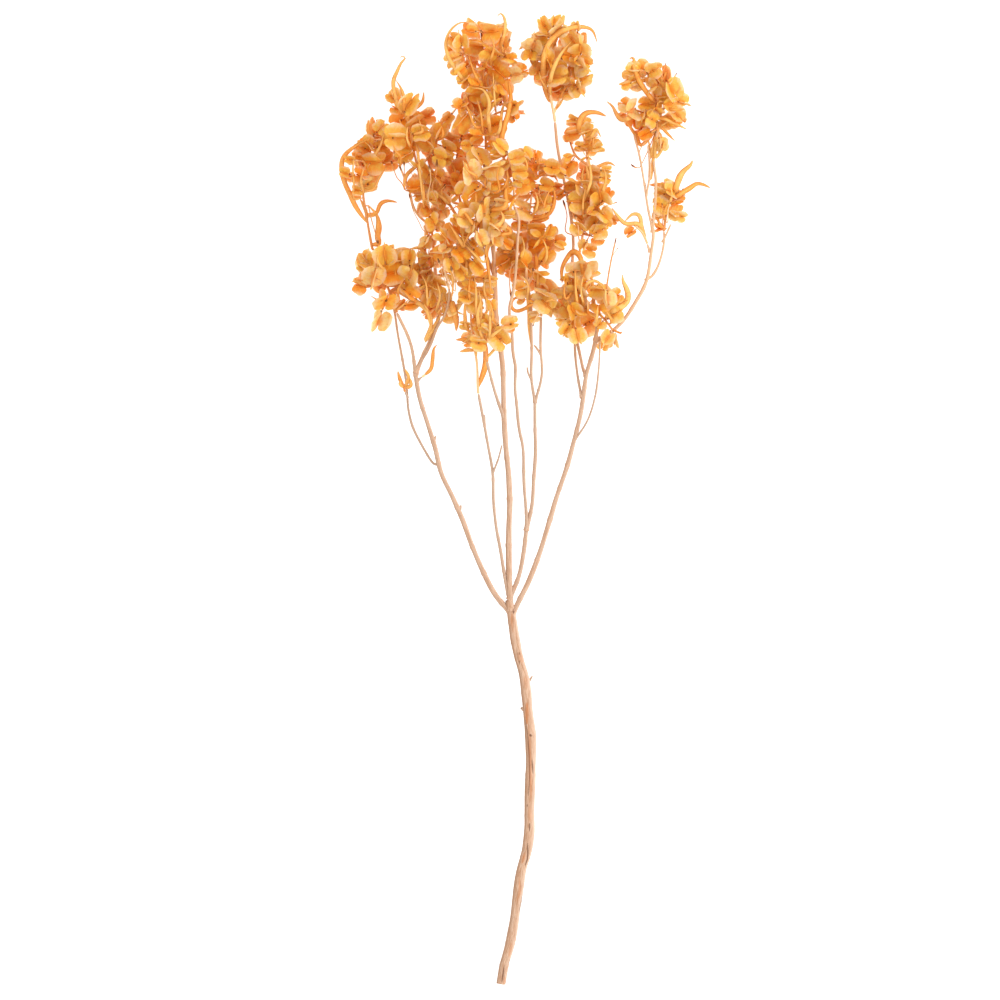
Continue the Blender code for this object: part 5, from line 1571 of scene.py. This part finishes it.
def make_section(name, points):
    """A closed section of unit half width, whose points know where they lie on it."""
    count = len(points)
    made = make_object(name, [(x / MM, y / MM, 0.0) for x, y in points],
                       edges=[(i, (i + 1) % count) for i in range(count)])
    flat = np.array(points, float)
    around = np.column_stack((flat / np.linalg.norm(flat, axis=1)[:, None], np.zeros(count)))
    add_values(made.data, "FLOAT", across=flat[:, 0])
    add_values(made.data, "FLOAT_VECTOR", rim=around)
    return made


def round_section(sides):
    """A circle of so many sides."""
    angles = np.arange(sides) * 2 * math.pi / sides
    return make_section(f"round_{sides}", np.column_stack((np.cos(angles), np.sin(angles))))


def lines_object(name, paths):
    """Lines as edges, whose vertices carry what the sweep and the materials read."""
    places, edges, values = [], [], {"thickness": [], "tilt": [], "run": [], "share": [], "tone": []}
    for path in paths:
        first = len(places)
        places += list(path.points)
        edges += [(first + i, first + i + 1) for i in range(len(path.points) - 1)]
        share = shares(path.points)
        length = gaps_along(path.points).sum()
        values["thickness"] += list(np.asarray(path.thickness) * MM)
        values["tilt"] += list(path.tilt * share)
        values["run"] += list(share * length * MM)
        values["share"] += list(share)
        values["tone"] += [path.tone] * len(share)
    made = make_object(name, places, edges=edges)
    add_values(made.data, "FLOAT", **values)
    return made


sweep_tree = make_sweep_tree()
print("nodes in the sweep:", len(sweep_tree.nodes))

# %% [markdown]
# ## The woody branch
#
# The wood follows the solid's lines. A real twig doesn't leave its arm like a pipe: it has a
# swollen foot, little scars where leaves sat, and it never keeps one thickness. All of that is a
# change of radius along the line, so it needs no extra geometry.

# %% Radii with swollen feet, leaf scars and slow changes
FOOT_SWELL = 0.45
FOOT_LENGTH = 3.0
SCAR_SWELL = 0.16
SCAR_LENGTH = 1.3
SCAR_STEP = (16.0, 34.0)
STEM_SCARS = 0.25  # how strong the stem's scars are, beside a twig's
SLOW_CHANGE = 0.05
SLOW_PACE = (18, 30)
BARE_TIP = 3  # millimetres at a tip that carry no scar
WOOD_STEP = 1.6
STEM_SKIN_STEP = 0.8
TIP_ROUNDING = 0.55
STEM_RELIEF = 0.0005  # metres, as is the next one
TWIG_RELIEF = 0.00025
WOOD_SEED = 81


def grown_path(path, draw, rounded=True):
    """A path with more points, and radii as wood grows. The stem has no swollen foot or rounded tip."""
    line = smooth(path.points, WOOD_STEP if rounded else STEM_SKIN_STEP)
    scar_swell = SCAR_SWELL if rounded else SCAR_SWELL * STEM_SCARS
    share = shares(line)
    length = gaps_along(line).sum()
    run = share * length
    radii = np.interp(share, shares(path.points), path.thickness)
    radii = radii * (1 + FOOT_SWELL * np.exp(-(run / FOOT_LENGTH) ** 2) * rounded)
    phase, pace = draw.uniform(0, 6), draw.uniform(*SLOW_PACE)
    radii = radii * (1 + SLOW_CHANGE * np.sin(run / pace * math.pi + phase))
    scar = draw.uniform(*SCAR_STEP) / 2
    while scar < length - BARE_TIP:
        radii = radii * (1 + scar_swell * np.exp(-((run - scar) / SCAR_LENGTH) ** 2))
        scar += draw.uniform(*SCAR_STEP)
    if rounded:
        radii[-1] *= TIP_ROUNDING
    return Path(line, radii, sides=path.sides, tone=draw.random())


draw = random.Random(WOOD_SEED)
wood_meshes = []
for sides in sorted({path.sides for path in wood_paths.values()}):
    chosen = [grown_path(path, draw, rounded=name != "stem")
              for name, path in wood_paths.items() if path.sides == sides]
    lines = lines_object(f"wood_lines_{sides}", chosen)
    section = round_section(sides)
    wood_meshes.append(run_tree(lines, sweep_tree, {
        "Section": section, "Relief": STEM_RELIEF if sides == STEM_SIDES else TWIG_RELIEF,
        "Relief Scale": 1.2, "Material": wood_material}))
    bpy.data.objects.remove(lines)
    bpy.data.objects.remove(section)
print("faces in the wood:", sum(len(mesh.polygons) for mesh in wood_meshes))

# %% [markdown]
# The stem's marks are read off the photograph one by one: where the dye soaked in, where the
# skin is cracked, and where a knot sits. Each is a traced line on the upper side, and the
# material's own fibres then make its edge ragged. Cracks are pressed into the wood a little too.

# %% Stains and cracks on the stem: half width in pixels, strength, then plan pixels
STAINS = read_lines("""
    1.7,0.9 527,703 526.9,712 527,724 / 1.3,0.8 524.8,853 523.6,858.5 522,864 / 1.3,0.6 519.4,879 520,892
    517,901 / 1.9,0.7 516.6,939 518,944 / 2.8,0.35 519,652 522.5,662 / 2.6,0.3 525,677 526,688 / 3.4,0.35
    508,968 509.5,976 / 0.9,0.7 511.8,614 511.6,623 513.2,633 / 1.4,0.7 528.4,724 529.4,745 531,800 /
    1.6,0.5 505,978 504.5,985 / 1,0.6 514.5,590 516,584 / 1.8,0.3 530,808 530.5,822 / 1.4,0.5 511.5,944
    509,958""")
CRACKS = read_lines("""
    0.9,0.7 525.6,720 527.6,736 528.8,752 529.2,768 529.2,783 528.4,797 / 0.7,0.9 531.9,759 532.6,767
    533.2,775 / 0.7,0.9 529.4,823 529.5,832.5 / 0.8,1 527.3,843 527.8,852 527.4,860 525.9,864.5 525,868 /
    1.1,0.7 523.2,893 521.6,903 519.6,912 / 1.3,1 529.6,735 531.4,736.4 / 1,0.9 513.4,608 513.6,614 /
    0.6,0.8 519.2,652 519.5,655.5 / 0.6,0.8 519.6,660 519,665 / 1.4,1 519.5,708 521.5,708.6 / 0.7,0.8
    519.8,927.5 519.9,929.5 / 0.6,0.7 527.4,804 527.2,808 / 0.7,0.6 509.6,960 508.6,967 / 1,0.8 504,967
    503,975 501.6,984 / 0.8,0.5 516.2,648 517,655 518.6,664 / 0.8,0.5 527.7,786 527.6,796 / 0.7,0.6
    506,599 506.6,603 / 0.6,0.5 526.9,711 527,719 / 0.6,0.5 512.6,917 518.6,921 / 0.7,0.5 520.4,880
    520.8,893""")
MARK_STEP = 0.5
TABLE_TOUCH = 0.0001  # metres: the lowest that anything may lie over the table
CRACK_DEPTH = 0.0004  # metres
MARK_REACH = 45  # millimetres from a mark's middle, past which it changes nothing
MARK_ENDS = 0.25  # the width of a mark's ends, as a share of its full width
MARK_EDGE = 1.5  # half widths from its line at which a mark ends
UPPER_SIDE = -0.1  # the least upward part of a normal that takes a mark
WOOD_EDGE = math.radians(55)  # a fold of the wood sharper than this is shaded as an edge


def join_meshes(name, meshes):
    """Several meshes as one object, each with its own material."""
    made = []
    for mesh in meshes:
        part = bpy.data.objects.new(name, mesh)
        scene.collection.objects.link(part)
        made.append(part)
    with bpy.context.temp_override(active_object=made[0], selected_editable_objects=made):
        bpy.ops.object.join()
    made[0].name = name
    return made[0]


def read_vectors(source, field):
    """The places or normals of a mesh's vertices as rows."""
    found = np.zeros(len(source) * 3, np.float32)
    source.foreach_get(field, found)
    return found.reshape(-1, 3)


def lift_off_table(mesh):
    """Raises what would hang into the table, so that a resting wing folds where it touches."""
    places = read_vectors(mesh.vertices, "co")
    places[:, 2] = np.maximum(places[:, 2], TABLE_TOUCH)
    mesh.vertices.foreach_set("co", places.ravel())


def mark(mesh, name, lines):
    """Gives each vertex of the upper side the strongest of some traced lines near it, in plan."""
    places = read_vectors(mesh.vertices, "co") / MM
    facing = read_vectors(mesh.vertex_normals, "vector")
    strength = np.zeros(len(places))
    for half_width, full, route in lines:
        traced = smooth(lay_flat(route), MARK_STEP)[:, :2]
        near = np.nonzero((np.abs(places[:, :2] - traced.mean(axis=0)) < MARK_REACH).all(axis=1))[0]
        away = np.linalg.norm(places[near, None, :2] - traced, axis=2)
        belly = np.sin(math.pi * shares(traced)).clip(0) ** 0.7
        taper = half_width * PIXEL * (MARK_ENDS + (1 - MARK_ENDS) * belly)
        here = np.clip(MARK_EDGE - (away / taper).min(axis=1), 0, 1)
        strength[near] = np.maximum(strength[near], full * here)
    strength *= facing[:, 2] > UPPER_SIDE
    add_values(mesh, "FLOAT", **{name: strength})
    return strength


def check_outward(made):
    """Turns a closed mesh right side out, and returns its volume in cubic millimetres."""
    mesh = made.data
    mesh.calc_loop_triangles()
    places = np.array([v.co for v in mesh.vertices])
    corners = places[np.array([t.vertices for t in mesh.loop_triangles])]
    volume = np.einsum("ij,ij->i", corners[:, 0], np.cross(corners[:, 1], corners[:, 2])).sum() / 6
    if volume < 0:
        mesh.flip_normals()
    return abs(volume) / MM ** 3


for mesh in wood_meshes:
    lift_off_table(mesh)
branch = join_meshes("branch_wood", wood_meshes)
outward = read_vectors(branch.data.vertex_normals, "vector")
# 1 where the wood faces left, for its painted shade, and -1 where it faces right, for its painted light
add_values(branch.data, "FLOAT", flank=-outward[:, 0])
mark(branch.data, "stain", STAINS)
depth = CRACK_DEPTH * mark(branch.data, "crack", CRACKS)
pressed = read_vectors(branch.data.vertices, "co") - depth[:, None] * outward
branch.data.vertices.foreach_set("co", pressed.astype(np.float32).ravel())
branch.data.set_sharp_from_angle(angle=WOOD_EDGE)
print("wood volume in mm3:", round(check_outward(branch)))
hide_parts("woody_branch")
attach(branch, "root")

# %% [markdown]
# ## One seed capsule
#
# A hop-bush capsule is a spindle of seeds with three papery wings round it, each a rounded
# letter D. No two dry alike, so there are several forms: wings curl to one side, ripple at the
# rim and have notches of their own. Ten forms serve all 497 capsules, about fifty each. A form has
# few faces, and front and back share a sharp rim that keeps the wing's shading flat and thin.

# %% One wing
WING_OUTLINE = (  # from base to top: share of the length, share of the radius
    (0.10, 0.09), (0.015, 0.34), (0.085, 0.68), (0.27, 0.93), (0.52, 1.0), (0.76, 0.93), (0.935, 0.68),
    (0.99, 0.34), (0.92, 0.09),
)
WING_MIDDLE = 0.58  # where the wing's middle line lies, as a share of its reach
WING_HALF_THICKNESS = 0.12
WING_CURL = 0.45  # how far a rim may turn round the axis, in radians
WING_RIPPLE = (0.3, 1.0)
RIPPLE_PACE = 7.0
WING_SPREAD = (0.9, 1.0)
NOTCH = 0.02
WING_FOOT = 0.4  # how far from the axis a wing starts
MIDDLE_FROM, MIDDLE_SPAN = 0.15, 0.7  # the part of the axis that a wing's middle points grow from
SEED_RINGS = ((0.22, 1.15), (0.58, 1.5))  # share of the length, radius
SEED_SIDES = 6
SEED_LOBES = (0.75, 1.15)  # what a ring's radius is multiplied by, from corner to corner
SEED_TOP = 0.95
WING_SPACING = 0.12  # how far a wing may stand from an even third of a turn, in radians
FORM_EDGE = math.radians(75)
FORM_SEED = 560
FORMS = 10


def wing_shape(draw, angle, first):
    """One wing as a thin closed shell: places, faces, and its radial and along values."""
    curl = draw.uniform(-WING_CURL, WING_CURL)
    ripple, phase = draw.uniform(*WING_RIPPLE), draw.uniform(0, 6.28)
    spread = draw.uniform(*WING_SPREAD)
    places, radial, along = [], [], []

    def add(share, root_share, reach, column, layer):
        """A point of the wing, at a share of the way from its root to its rim."""
        away = min(CAPSULE_RADIUS * spread * reach * column + WING_FOOT, CAPSULE_RADIUS)
        height = CAPSULE_LENGTH * (root_share + (share - root_share) * column)
        turn = angle + WING_TWIST * (share - WING_LOW[0]) + curl * column ** 2
        lift = ripple * math.sin(phase + RIPPLE_PACE * share) * column ** 2 + layer * WING_HALF_THICKNESS
        places.append((away * math.cos(turn) - lift * math.sin(turn),
                       away * math.sin(turn) + lift * math.cos(turn), height))
        radial.append(column * max(reach, 0.5))
        along.append(share)
        return first + len(places) - 1

    rim = [add(share, share, reach + draw.uniform(-NOTCH, NOTCH), 1.0, 0)
           for share, reach in WING_OUTLINE]
    root = [rim[0], add(0.5, 0.5, 0.0, 0.0, 0), rim[-1]]
    faces = []
    for layer in (1, -1):
        middle = [rim[0]]
        for i in (2, 4, 6):
            share, reach = WING_OUTLINE[i]
            middle.append(add(share, MIDDLE_FROM + MIDDLE_SPAN * i / 8, reach, WING_MIDDLE, layer))
        middle.append(rim[-1])
        found = []
        for i in range(4):
            outer = rim[2 * i:2 * i + 3]
            inner = middle[i:i + 2]
            if i == 0:
                found += [(inner[0], outer[1], inner[1]), (outer[1], outer[2], inner[1])]
            elif i == 3:
                found += [(inner[0], outer[0], outer[1]), (inner[0], outer[1], outer[2])]
            else:
                found += [(inner[0], outer[0], outer[1]), (inner[0], outer[1], outer[2], inner[1])]
        found += [(root[0], middle[1], root[1]), (root[1], middle[1], middle[2]),
                  (root[1], middle[2], middle[3]), (root[1], middle[3], root[2])]
        faces += [face if layer > 0 else tuple(reversed(face)) for face in found]
    return places, faces, radial, along


print("rim points of a wing:", len(WING_OUTLINE))


# %% Build the forms and keep them in a collection of their own
def capsule_form(number):
    """One form of the capsule, with its axis along Z and its base at the origin."""
    draw = random.Random(FORM_SEED + number)
    places, faces, radial, along = [], [], [], []
    for side in range(3):
        angle = side * 2 * math.pi / 3 + draw.uniform(-WING_SPACING, WING_SPACING)
        wing = wing_shape(draw, angle, len(places))
        for whole, own in zip((places, faces, radial, along), wing):
            whole += own
    seeds = [0.0] * len(places)
    first = len(places)
    for share, radius in SEED_RINGS:
        for corner in range(SEED_SIDES):
            lobe = radius * SEED_LOBES[corner % 2]
            turn = corner * 2 * math.pi / SEED_SIDES
            places.append((lobe * math.cos(turn), lobe * math.sin(turn), CAPSULE_LENGTH * share))
            seeds.append(1.0)
            along.append(share)
    base, top = len(places), len(places) + 1
    for share in (0.0, SEED_TOP):
        places.append((0, 0, CAPSULE_LENGTH * share))
        seeds.append(0.0)
        along.append(share)
    radial += [0.1] * (len(places) - first)
    for corner in range(SEED_SIDES):
        low, low_after = first + corner, first + (corner + 1) % SEED_SIDES
        high, high_after = low + SEED_SIDES, low_after + SEED_SIDES
        faces += [(low, low_after, high_after, high), (low_after, low, base), (high, high_after, top)]
    form = make_object(f"capsule_form_{number}", places, faces=faces)
    add_values(form.data, "FLOAT", radial=radial, along=along, seed=seeds)
    form.data.shade_smooth()
    form.data.set_sharp_from_angle(angle=FORM_EDGE)
    return form


form_shelf = bpy.data.collections.new("capsule_forms")
for number in range(FORMS):
    form = capsule_form(number)
    scene.collection.objects.unlink(form)
    form_shelf.objects.link(form)

# %% [markdown]
# ## The heads
#
# A head is one tree: sweeps for its stalks, threads and leaves, and a scatter that puts a
# capsule form on every point. Each point carries `axis` and `facing`, which turn the form, its
# size, the number of its form, and its tone. Realize Instances then makes all of it plain mesh.

# %% A Geometry Nodes tree that scatters capsule forms
def make_scatter_tree():
    """Puts a capsule form on each point, turned and scaled by its values, and crumples the wings."""
    tree, graph, given = new_tree("scatter_capsules", (
        ("Points", "Geometry"), ("Forms", "Collection"), ("Material", "Material"),
        ("Crumple", "Float"), ("Crumple Scale", "Float")))
    forms = graph.node("GeometryNodeCollectionInfo", None, {
        "Collection": given["Forms"], "Separate Children": True, "Reset Children": True})
    turned = graph.node("FunctionNodeAxesToRotation", {"primary_axis": "Z", "secondary_axis": "X"}, {
        "Primary Axis": named_attribute(graph, "axis", "FLOAT_VECTOR"),
        "Secondary Axis": named_attribute(graph, "facing", "FLOAT_VECTOR")})
    placed = graph.node("GeometryNodeInstanceOnPoints", None, {
        "Points": given["Points"], "Instance": forms, "Pick Instance": True,
        "Instance Index": named_attribute(graph, "form", "INT"), "Rotation": turned,
        "Scale": named_attribute(graph, "size")})
    solid = graph.node("GeometryNodeRealizeInstances", None, {"Geometry": placed})
    place = graph.node("GeometryNodeInputPosition", out="Position")
    swirl = graph.node("ShaderNodeTexNoise", None, {
        "Vector": place, "Scale": given["Crumple Scale"]}, "Color")
    swirl = graph.node("ShaderNodeVectorMath", {"operation": "SUBTRACT"}, {0: swirl, 1: (0.5, 0.5, 0.5)})
    crumpled = graph.node("GeometryNodeSetPosition", None, {
        "Geometry": solid, "Offset": swirl * (named_attribute(graph, "radial") * given["Crumple"])})
    finish_tree(graph, graph.node("GeometryNodeSetMaterial", None, {
        "Geometry": crumpled, "Material": given["Material"]}))
    return tree


scatter_tree = make_scatter_tree()
print("nodes in the scatter:", len(scatter_tree.nodes))

# %% Sections, and the lines of stalks, threads and leaves
LEAF_SECTION = (
    (-1.0, 0.42), (-0.55, 0.17), (0.0, 0.05), (0.55, 0.17), (1.0, 0.42), (0.55, 0.06), (0.0, -0.06),
    (-0.55, 0.06))
LEAF_FULLNESS = 0.45  # a leaf's half width at its widest, as a share of its traced width
LEAF_WAVE = 0.06
LEAF_LEAST = 0.16
LEAF_RELIEF = 0.0003  # metres
STRAP_ROLL = 0.5
FINE_LEAF_STEP = 1.8
FINE_STALK_STEP = 2.0
CAPSULE_STALK_STEP = 2.6
THREADS_PER_CAPSULE = 0.3
STREWN_PER_CAPSULE = 0.5
STREWN_WIDTHS = (1.5, 3.0)
STREWN_BACK = 14.0
THREAD_RADIUS = 0.3
THREAD_LENGTHS = (9, 18)
STALK_SIDES = 7
THREAD_SIDES = 5
STALK_WAVE = 0.08
STALK_RELIEF = 0.0002  # metres
SUNK_TOP = 0.8  # how far a capsule's stalk runs on past the capsule's base
LONE_STALK = {("spray_right_low", 5): 0.7}  # a bare one, thinner than those that carry capsules

leaf_section = make_section("leaf_section", LEAF_SECTION)
stalk_section = round_section(STALK_SIDES)
thread_section = round_section(THREAD_SIDES)


def leaf_path(leaf, draw):
    """A traced or loose leaf as a path: widest before its middle, with a narrow foot and tip."""
    coarse, width, roll = leaf
    line = smooth(coarse, FINE_LEAF_STEP)
    share = np.clip(shares(line), 0.02, 0.99)
    half = LEAF_FULLNESS * width * np.sin(math.pi * share ** 0.8) ** 0.5
    half = np.maximum(half * (1 + LEAF_WAVE * np.sin(share * draw.uniform(9, 16))), LEAF_LEAST)
    return Path(line, half, tilt=roll, tone=draw.random())


def strewn_leaf(spray, stalk_points, draw):
    """A short narrow leaf at random in a head, from a stalk up past one of its capsules."""
    target = plan(draw.choice(spray.places), spray.height)
    target += (draw.uniform(-5, 5), draw.uniform(-5, 5), draw.uniform(-0.5, 1.1) * spray.depth)
    start = nearest(stalk_points, target + STREWN_BACK * BACK)
    middle = (start + target) / 2 + (draw.uniform(-3, 3), draw.uniform(-2, 2), draw.uniform(0, 4))
    line = smooth((start, middle, target), FINE_LEAF_STEP)
    return (line, draw.uniform(*STREWN_WIDTHS), draw.uniform(-LOOSE_LEAF_ROLL, LOOSE_LEAF_ROLL))


def stalk_path(path, slender, draw):
    """A head's stalk as a path with small swellings."""
    line = smooth(path.points, FINE_STALK_STEP)
    share = shares(line)
    radii = slender * np.interp(share, (0, 0.97, 1), (SPRAY_STALK_BASE, SPRAY_STALK_TIP, 0.4))
    radii = radii * (1 + STALK_WAVE * np.sin(share * draw.uniform(20, 40)))
    return Path(line, radii, tone=draw.random())


def capsule_stalk_path(capsule, draw):
    """The thin stalk from a head's stalk to a capsule's base, thicker where it meets the base."""
    base, axis = capsule.base(), capsule.frame()[0]
    if (base - capsule.root).dot(axis) < 1.0:
        return None
    middle = (capsule.root + base) / 2 + np.array((0.0, 0.0, draw.uniform(-0.6, 0.6)))
    line = smooth((capsule.root, middle, base + axis * SUNK_TOP), CAPSULE_STALK_STEP)
    return Path(line, np.interp(shares(line), (0, 0.6, 1), (0.42, 0.36, 0.7)), tone=draw.random())


def thread(line, radius, tone):
    """A thread of a radius that thins out and ends in a small dark bud."""
    thickness = np.interp(shares(line), (0, 0.86, 0.94, 1), np.array((1, 0.7, 1.9, 0.9)) * radius)
    return Path(line, thickness, tone=tone)


def thread_path(stalk_points, draw):
    """A dry thread that curls out of a head."""
    start = stalk_points[draw.randrange(len(stalk_points))]
    way = unit(np.array((draw.uniform(-0.8, 0.8), draw.uniform(0.2, 1.2), draw.uniform(-0.2, 1.0))))
    bend = unit(np.array((draw.uniform(-1, 1), draw.uniform(-1, 1), draw.uniform(-0.6, 0.3))))
    length = draw.uniform(*THREAD_LENGTHS)
    middle = start + way * length * 0.5 + bend * length * 0.12
    end = start + way * length + bend * length * draw.uniform(-0.4, 0.4)
    return thread(smooth((start, middle, end), FINE_STALK_STEP), THREAD_RADIUS, draw.random())


print("sections:", leaf_section.name, stalk_section.name, thread_section.name)

# %% Build every head as one piece
CRUMPLE = 0.005  # metres, for noise that seldom goes over a quarter of it
CRUMPLE_SCALE = 170.0
USUAL_TONE = 0.46
HEAD_TONES = {  # how much paler or deeper than usual a head is
    "spray_left_curl": -0.14, "spray_left_middle": -0.1, "spray_column": -0.12, "spray_centre_back": -0.2,
    "spray_centre_right": -0.14, "spray_centre_front": 0.12, "spray_left_low": 0.06,
    "spray_right_low": 0.08, "spray_centre_low": 0.08, "spray_right_inner": 0.1, "spray_far_top": 0.04}
PALE_TONE = 0.9
# how much paler a higher capsule is, so that lower ones carry painted shade
PAINTED_DEPTH_SHADE = 0.2
TONE_SPREAD = 0.17
HEAD_SEED = 9100
PALE_SPOTS = lay_flat(read_places(
    "379,321 500,338 375,276 490,191 471,173 516,75 359,284 366,261 497,228 544,44 616,338"))[:, :2]


def tone_of(capsule, usual, height, draw):
    """How pale a capsule is: higher ones are paler, as painted shade on the lower ones, and a few traced
    ones palest.
    """
    tone = usual + PAINTED_DEPTH_SHADE * height + draw.gauss(0, TONE_SPREAD)
    if capsule.traced is not None and any(np.allclose(capsule.traced, spot) for spot in PALE_SPOTS):
        tone = PALE_TONE
    return min(max(tone, 0.0), 1.0)


def capsule_points(spray_name, spray, capsules, draw):
    """A mesh of one vertex for each capsule, with the values that the scatter reads."""
    frames = [capsule.frame() for capsule in capsules]
    made = make_object(spray_name + "_points", [capsule.base() for capsule in capsules])
    facing = [math.cos(c.turn) * across + math.sin(c.turn) * side
              for c, (_, across, side) in zip(capsules, frames)]
    heights = np.array([c.centre[2] - spray.height for c in capsules]) / max(spray.depth, 1.0)
    usual = USUAL_TONE + HEAD_TONES.get(spray_name, 0.0)
    tones = [tone_of(c, usual, height, draw) for c, height in zip(capsules, heights)]
    add_values(made.data, "FLOAT_VECTOR", axis=[f[0] for f in frames], facing=facing)
    add_values(made.data, "FLOAT", size=[c.radius / CAPSULE_RADIUS for c in capsules], tone=tones)
    add_values(made.data, "INT", form=[draw.randrange(FORMS) for _ in capsules])
    return made


def sweep_paths(name, paths, section, material, relief=0.0):
    """The mesh of some paths, swept with one section."""
    lines = lines_object(name, paths)
    mesh = run_tree(lines, sweep_tree, {
        "Section": section, "Relief": relief, "Relief Scale": 2.0, "Material": material})
    bpy.data.objects.remove(lines)
    return mesh


def fits_in(name, line):
    """True where a line lies in its head's box and out of the clear spots."""
    return inside_box(name, line) and max(overlap(point, 0.0)[0] for point in line) < 0


def build_head(number, name):
    """Everything that grows on one head, as one object."""
    spray, head = SPRAYS[name], heads[name]
    draw = random.Random(HEAD_SEED + number)
    stalks = [stalk_path(path, LONE_STALK.get((name, place), 1.0), draw)
              for place, path in enumerate(head.stalks)]
    thin = [path for path in (capsule_stalk_path(c, draw) for c in head.capsules) if path]
    thin += [path for path in (thread_path(head.points, draw)
                               for _ in range(round(THREADS_PER_CAPSULE * len(spray.places))))
             if fits_in(name, path.points)]
    thin += [thread(line, width / 2, draw.random()) for width, line in straps.get(name, ())
             if width < THREAD_WIDTH]
    flat_leaves = head.leaves + [(line, width, draw.uniform(-STRAP_ROLL, STRAP_ROLL))
                                 for width, line in straps.get(name, ()) if width >= THREAD_WIDTH]
    flat_leaves += [leaf for leaf in (strewn_leaf(spray, head.points, draw)
                                      for _ in range(round(STREWN_PER_CAPSULE * len(spray.places))))
                    if fits_in(name, leaf[0])]
    meshes = [sweep_paths(name + "_stalks", stalks, stalk_section, stalk_material, STALK_RELIEF)]
    if thin:
        meshes.append(sweep_paths(name + "_threads", thin, thread_section, stalk_material))
    if flat_leaves:
        leaves = [leaf_path(leaf, draw) for leaf in flat_leaves]
        meshes.append(sweep_paths(name + "_leaves", leaves, leaf_section, leaf_material, LEAF_RELIEF))
    if head.capsules:
        points = capsule_points(name, spray, head.capsules, draw)
        meshes.append(run_tree(points, scatter_tree, {
            "Forms": form_shelf, "Material": wing_material,
            "Crumple": CRUMPLE, "Crumple Scale": CRUMPLE_SCALE}))
        bpy.data.objects.remove(points)
    for mesh in meshes:
        lift_off_table(mesh)
    made = join_meshes("dressed_" + name, meshes)
    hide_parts(name)
    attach(made, "root")
    return made


dressed = [build_head(number, name) for number, name in enumerate(SPRAYS)]
print("heads:", len(dressed), "faces in all:", sum(len(made.data.polygons) for made in dressed))

# %% [markdown]
# ## Tidy up
#
# The sections and forms were only tools, so they go.

# %% Remove the tools and finish
for tool in [leaf_section, stalk_section, thread_section, *form_shelf.objects]:
    bpy.data.objects.remove(tool)
bpy.data.collections.remove(form_shelf)
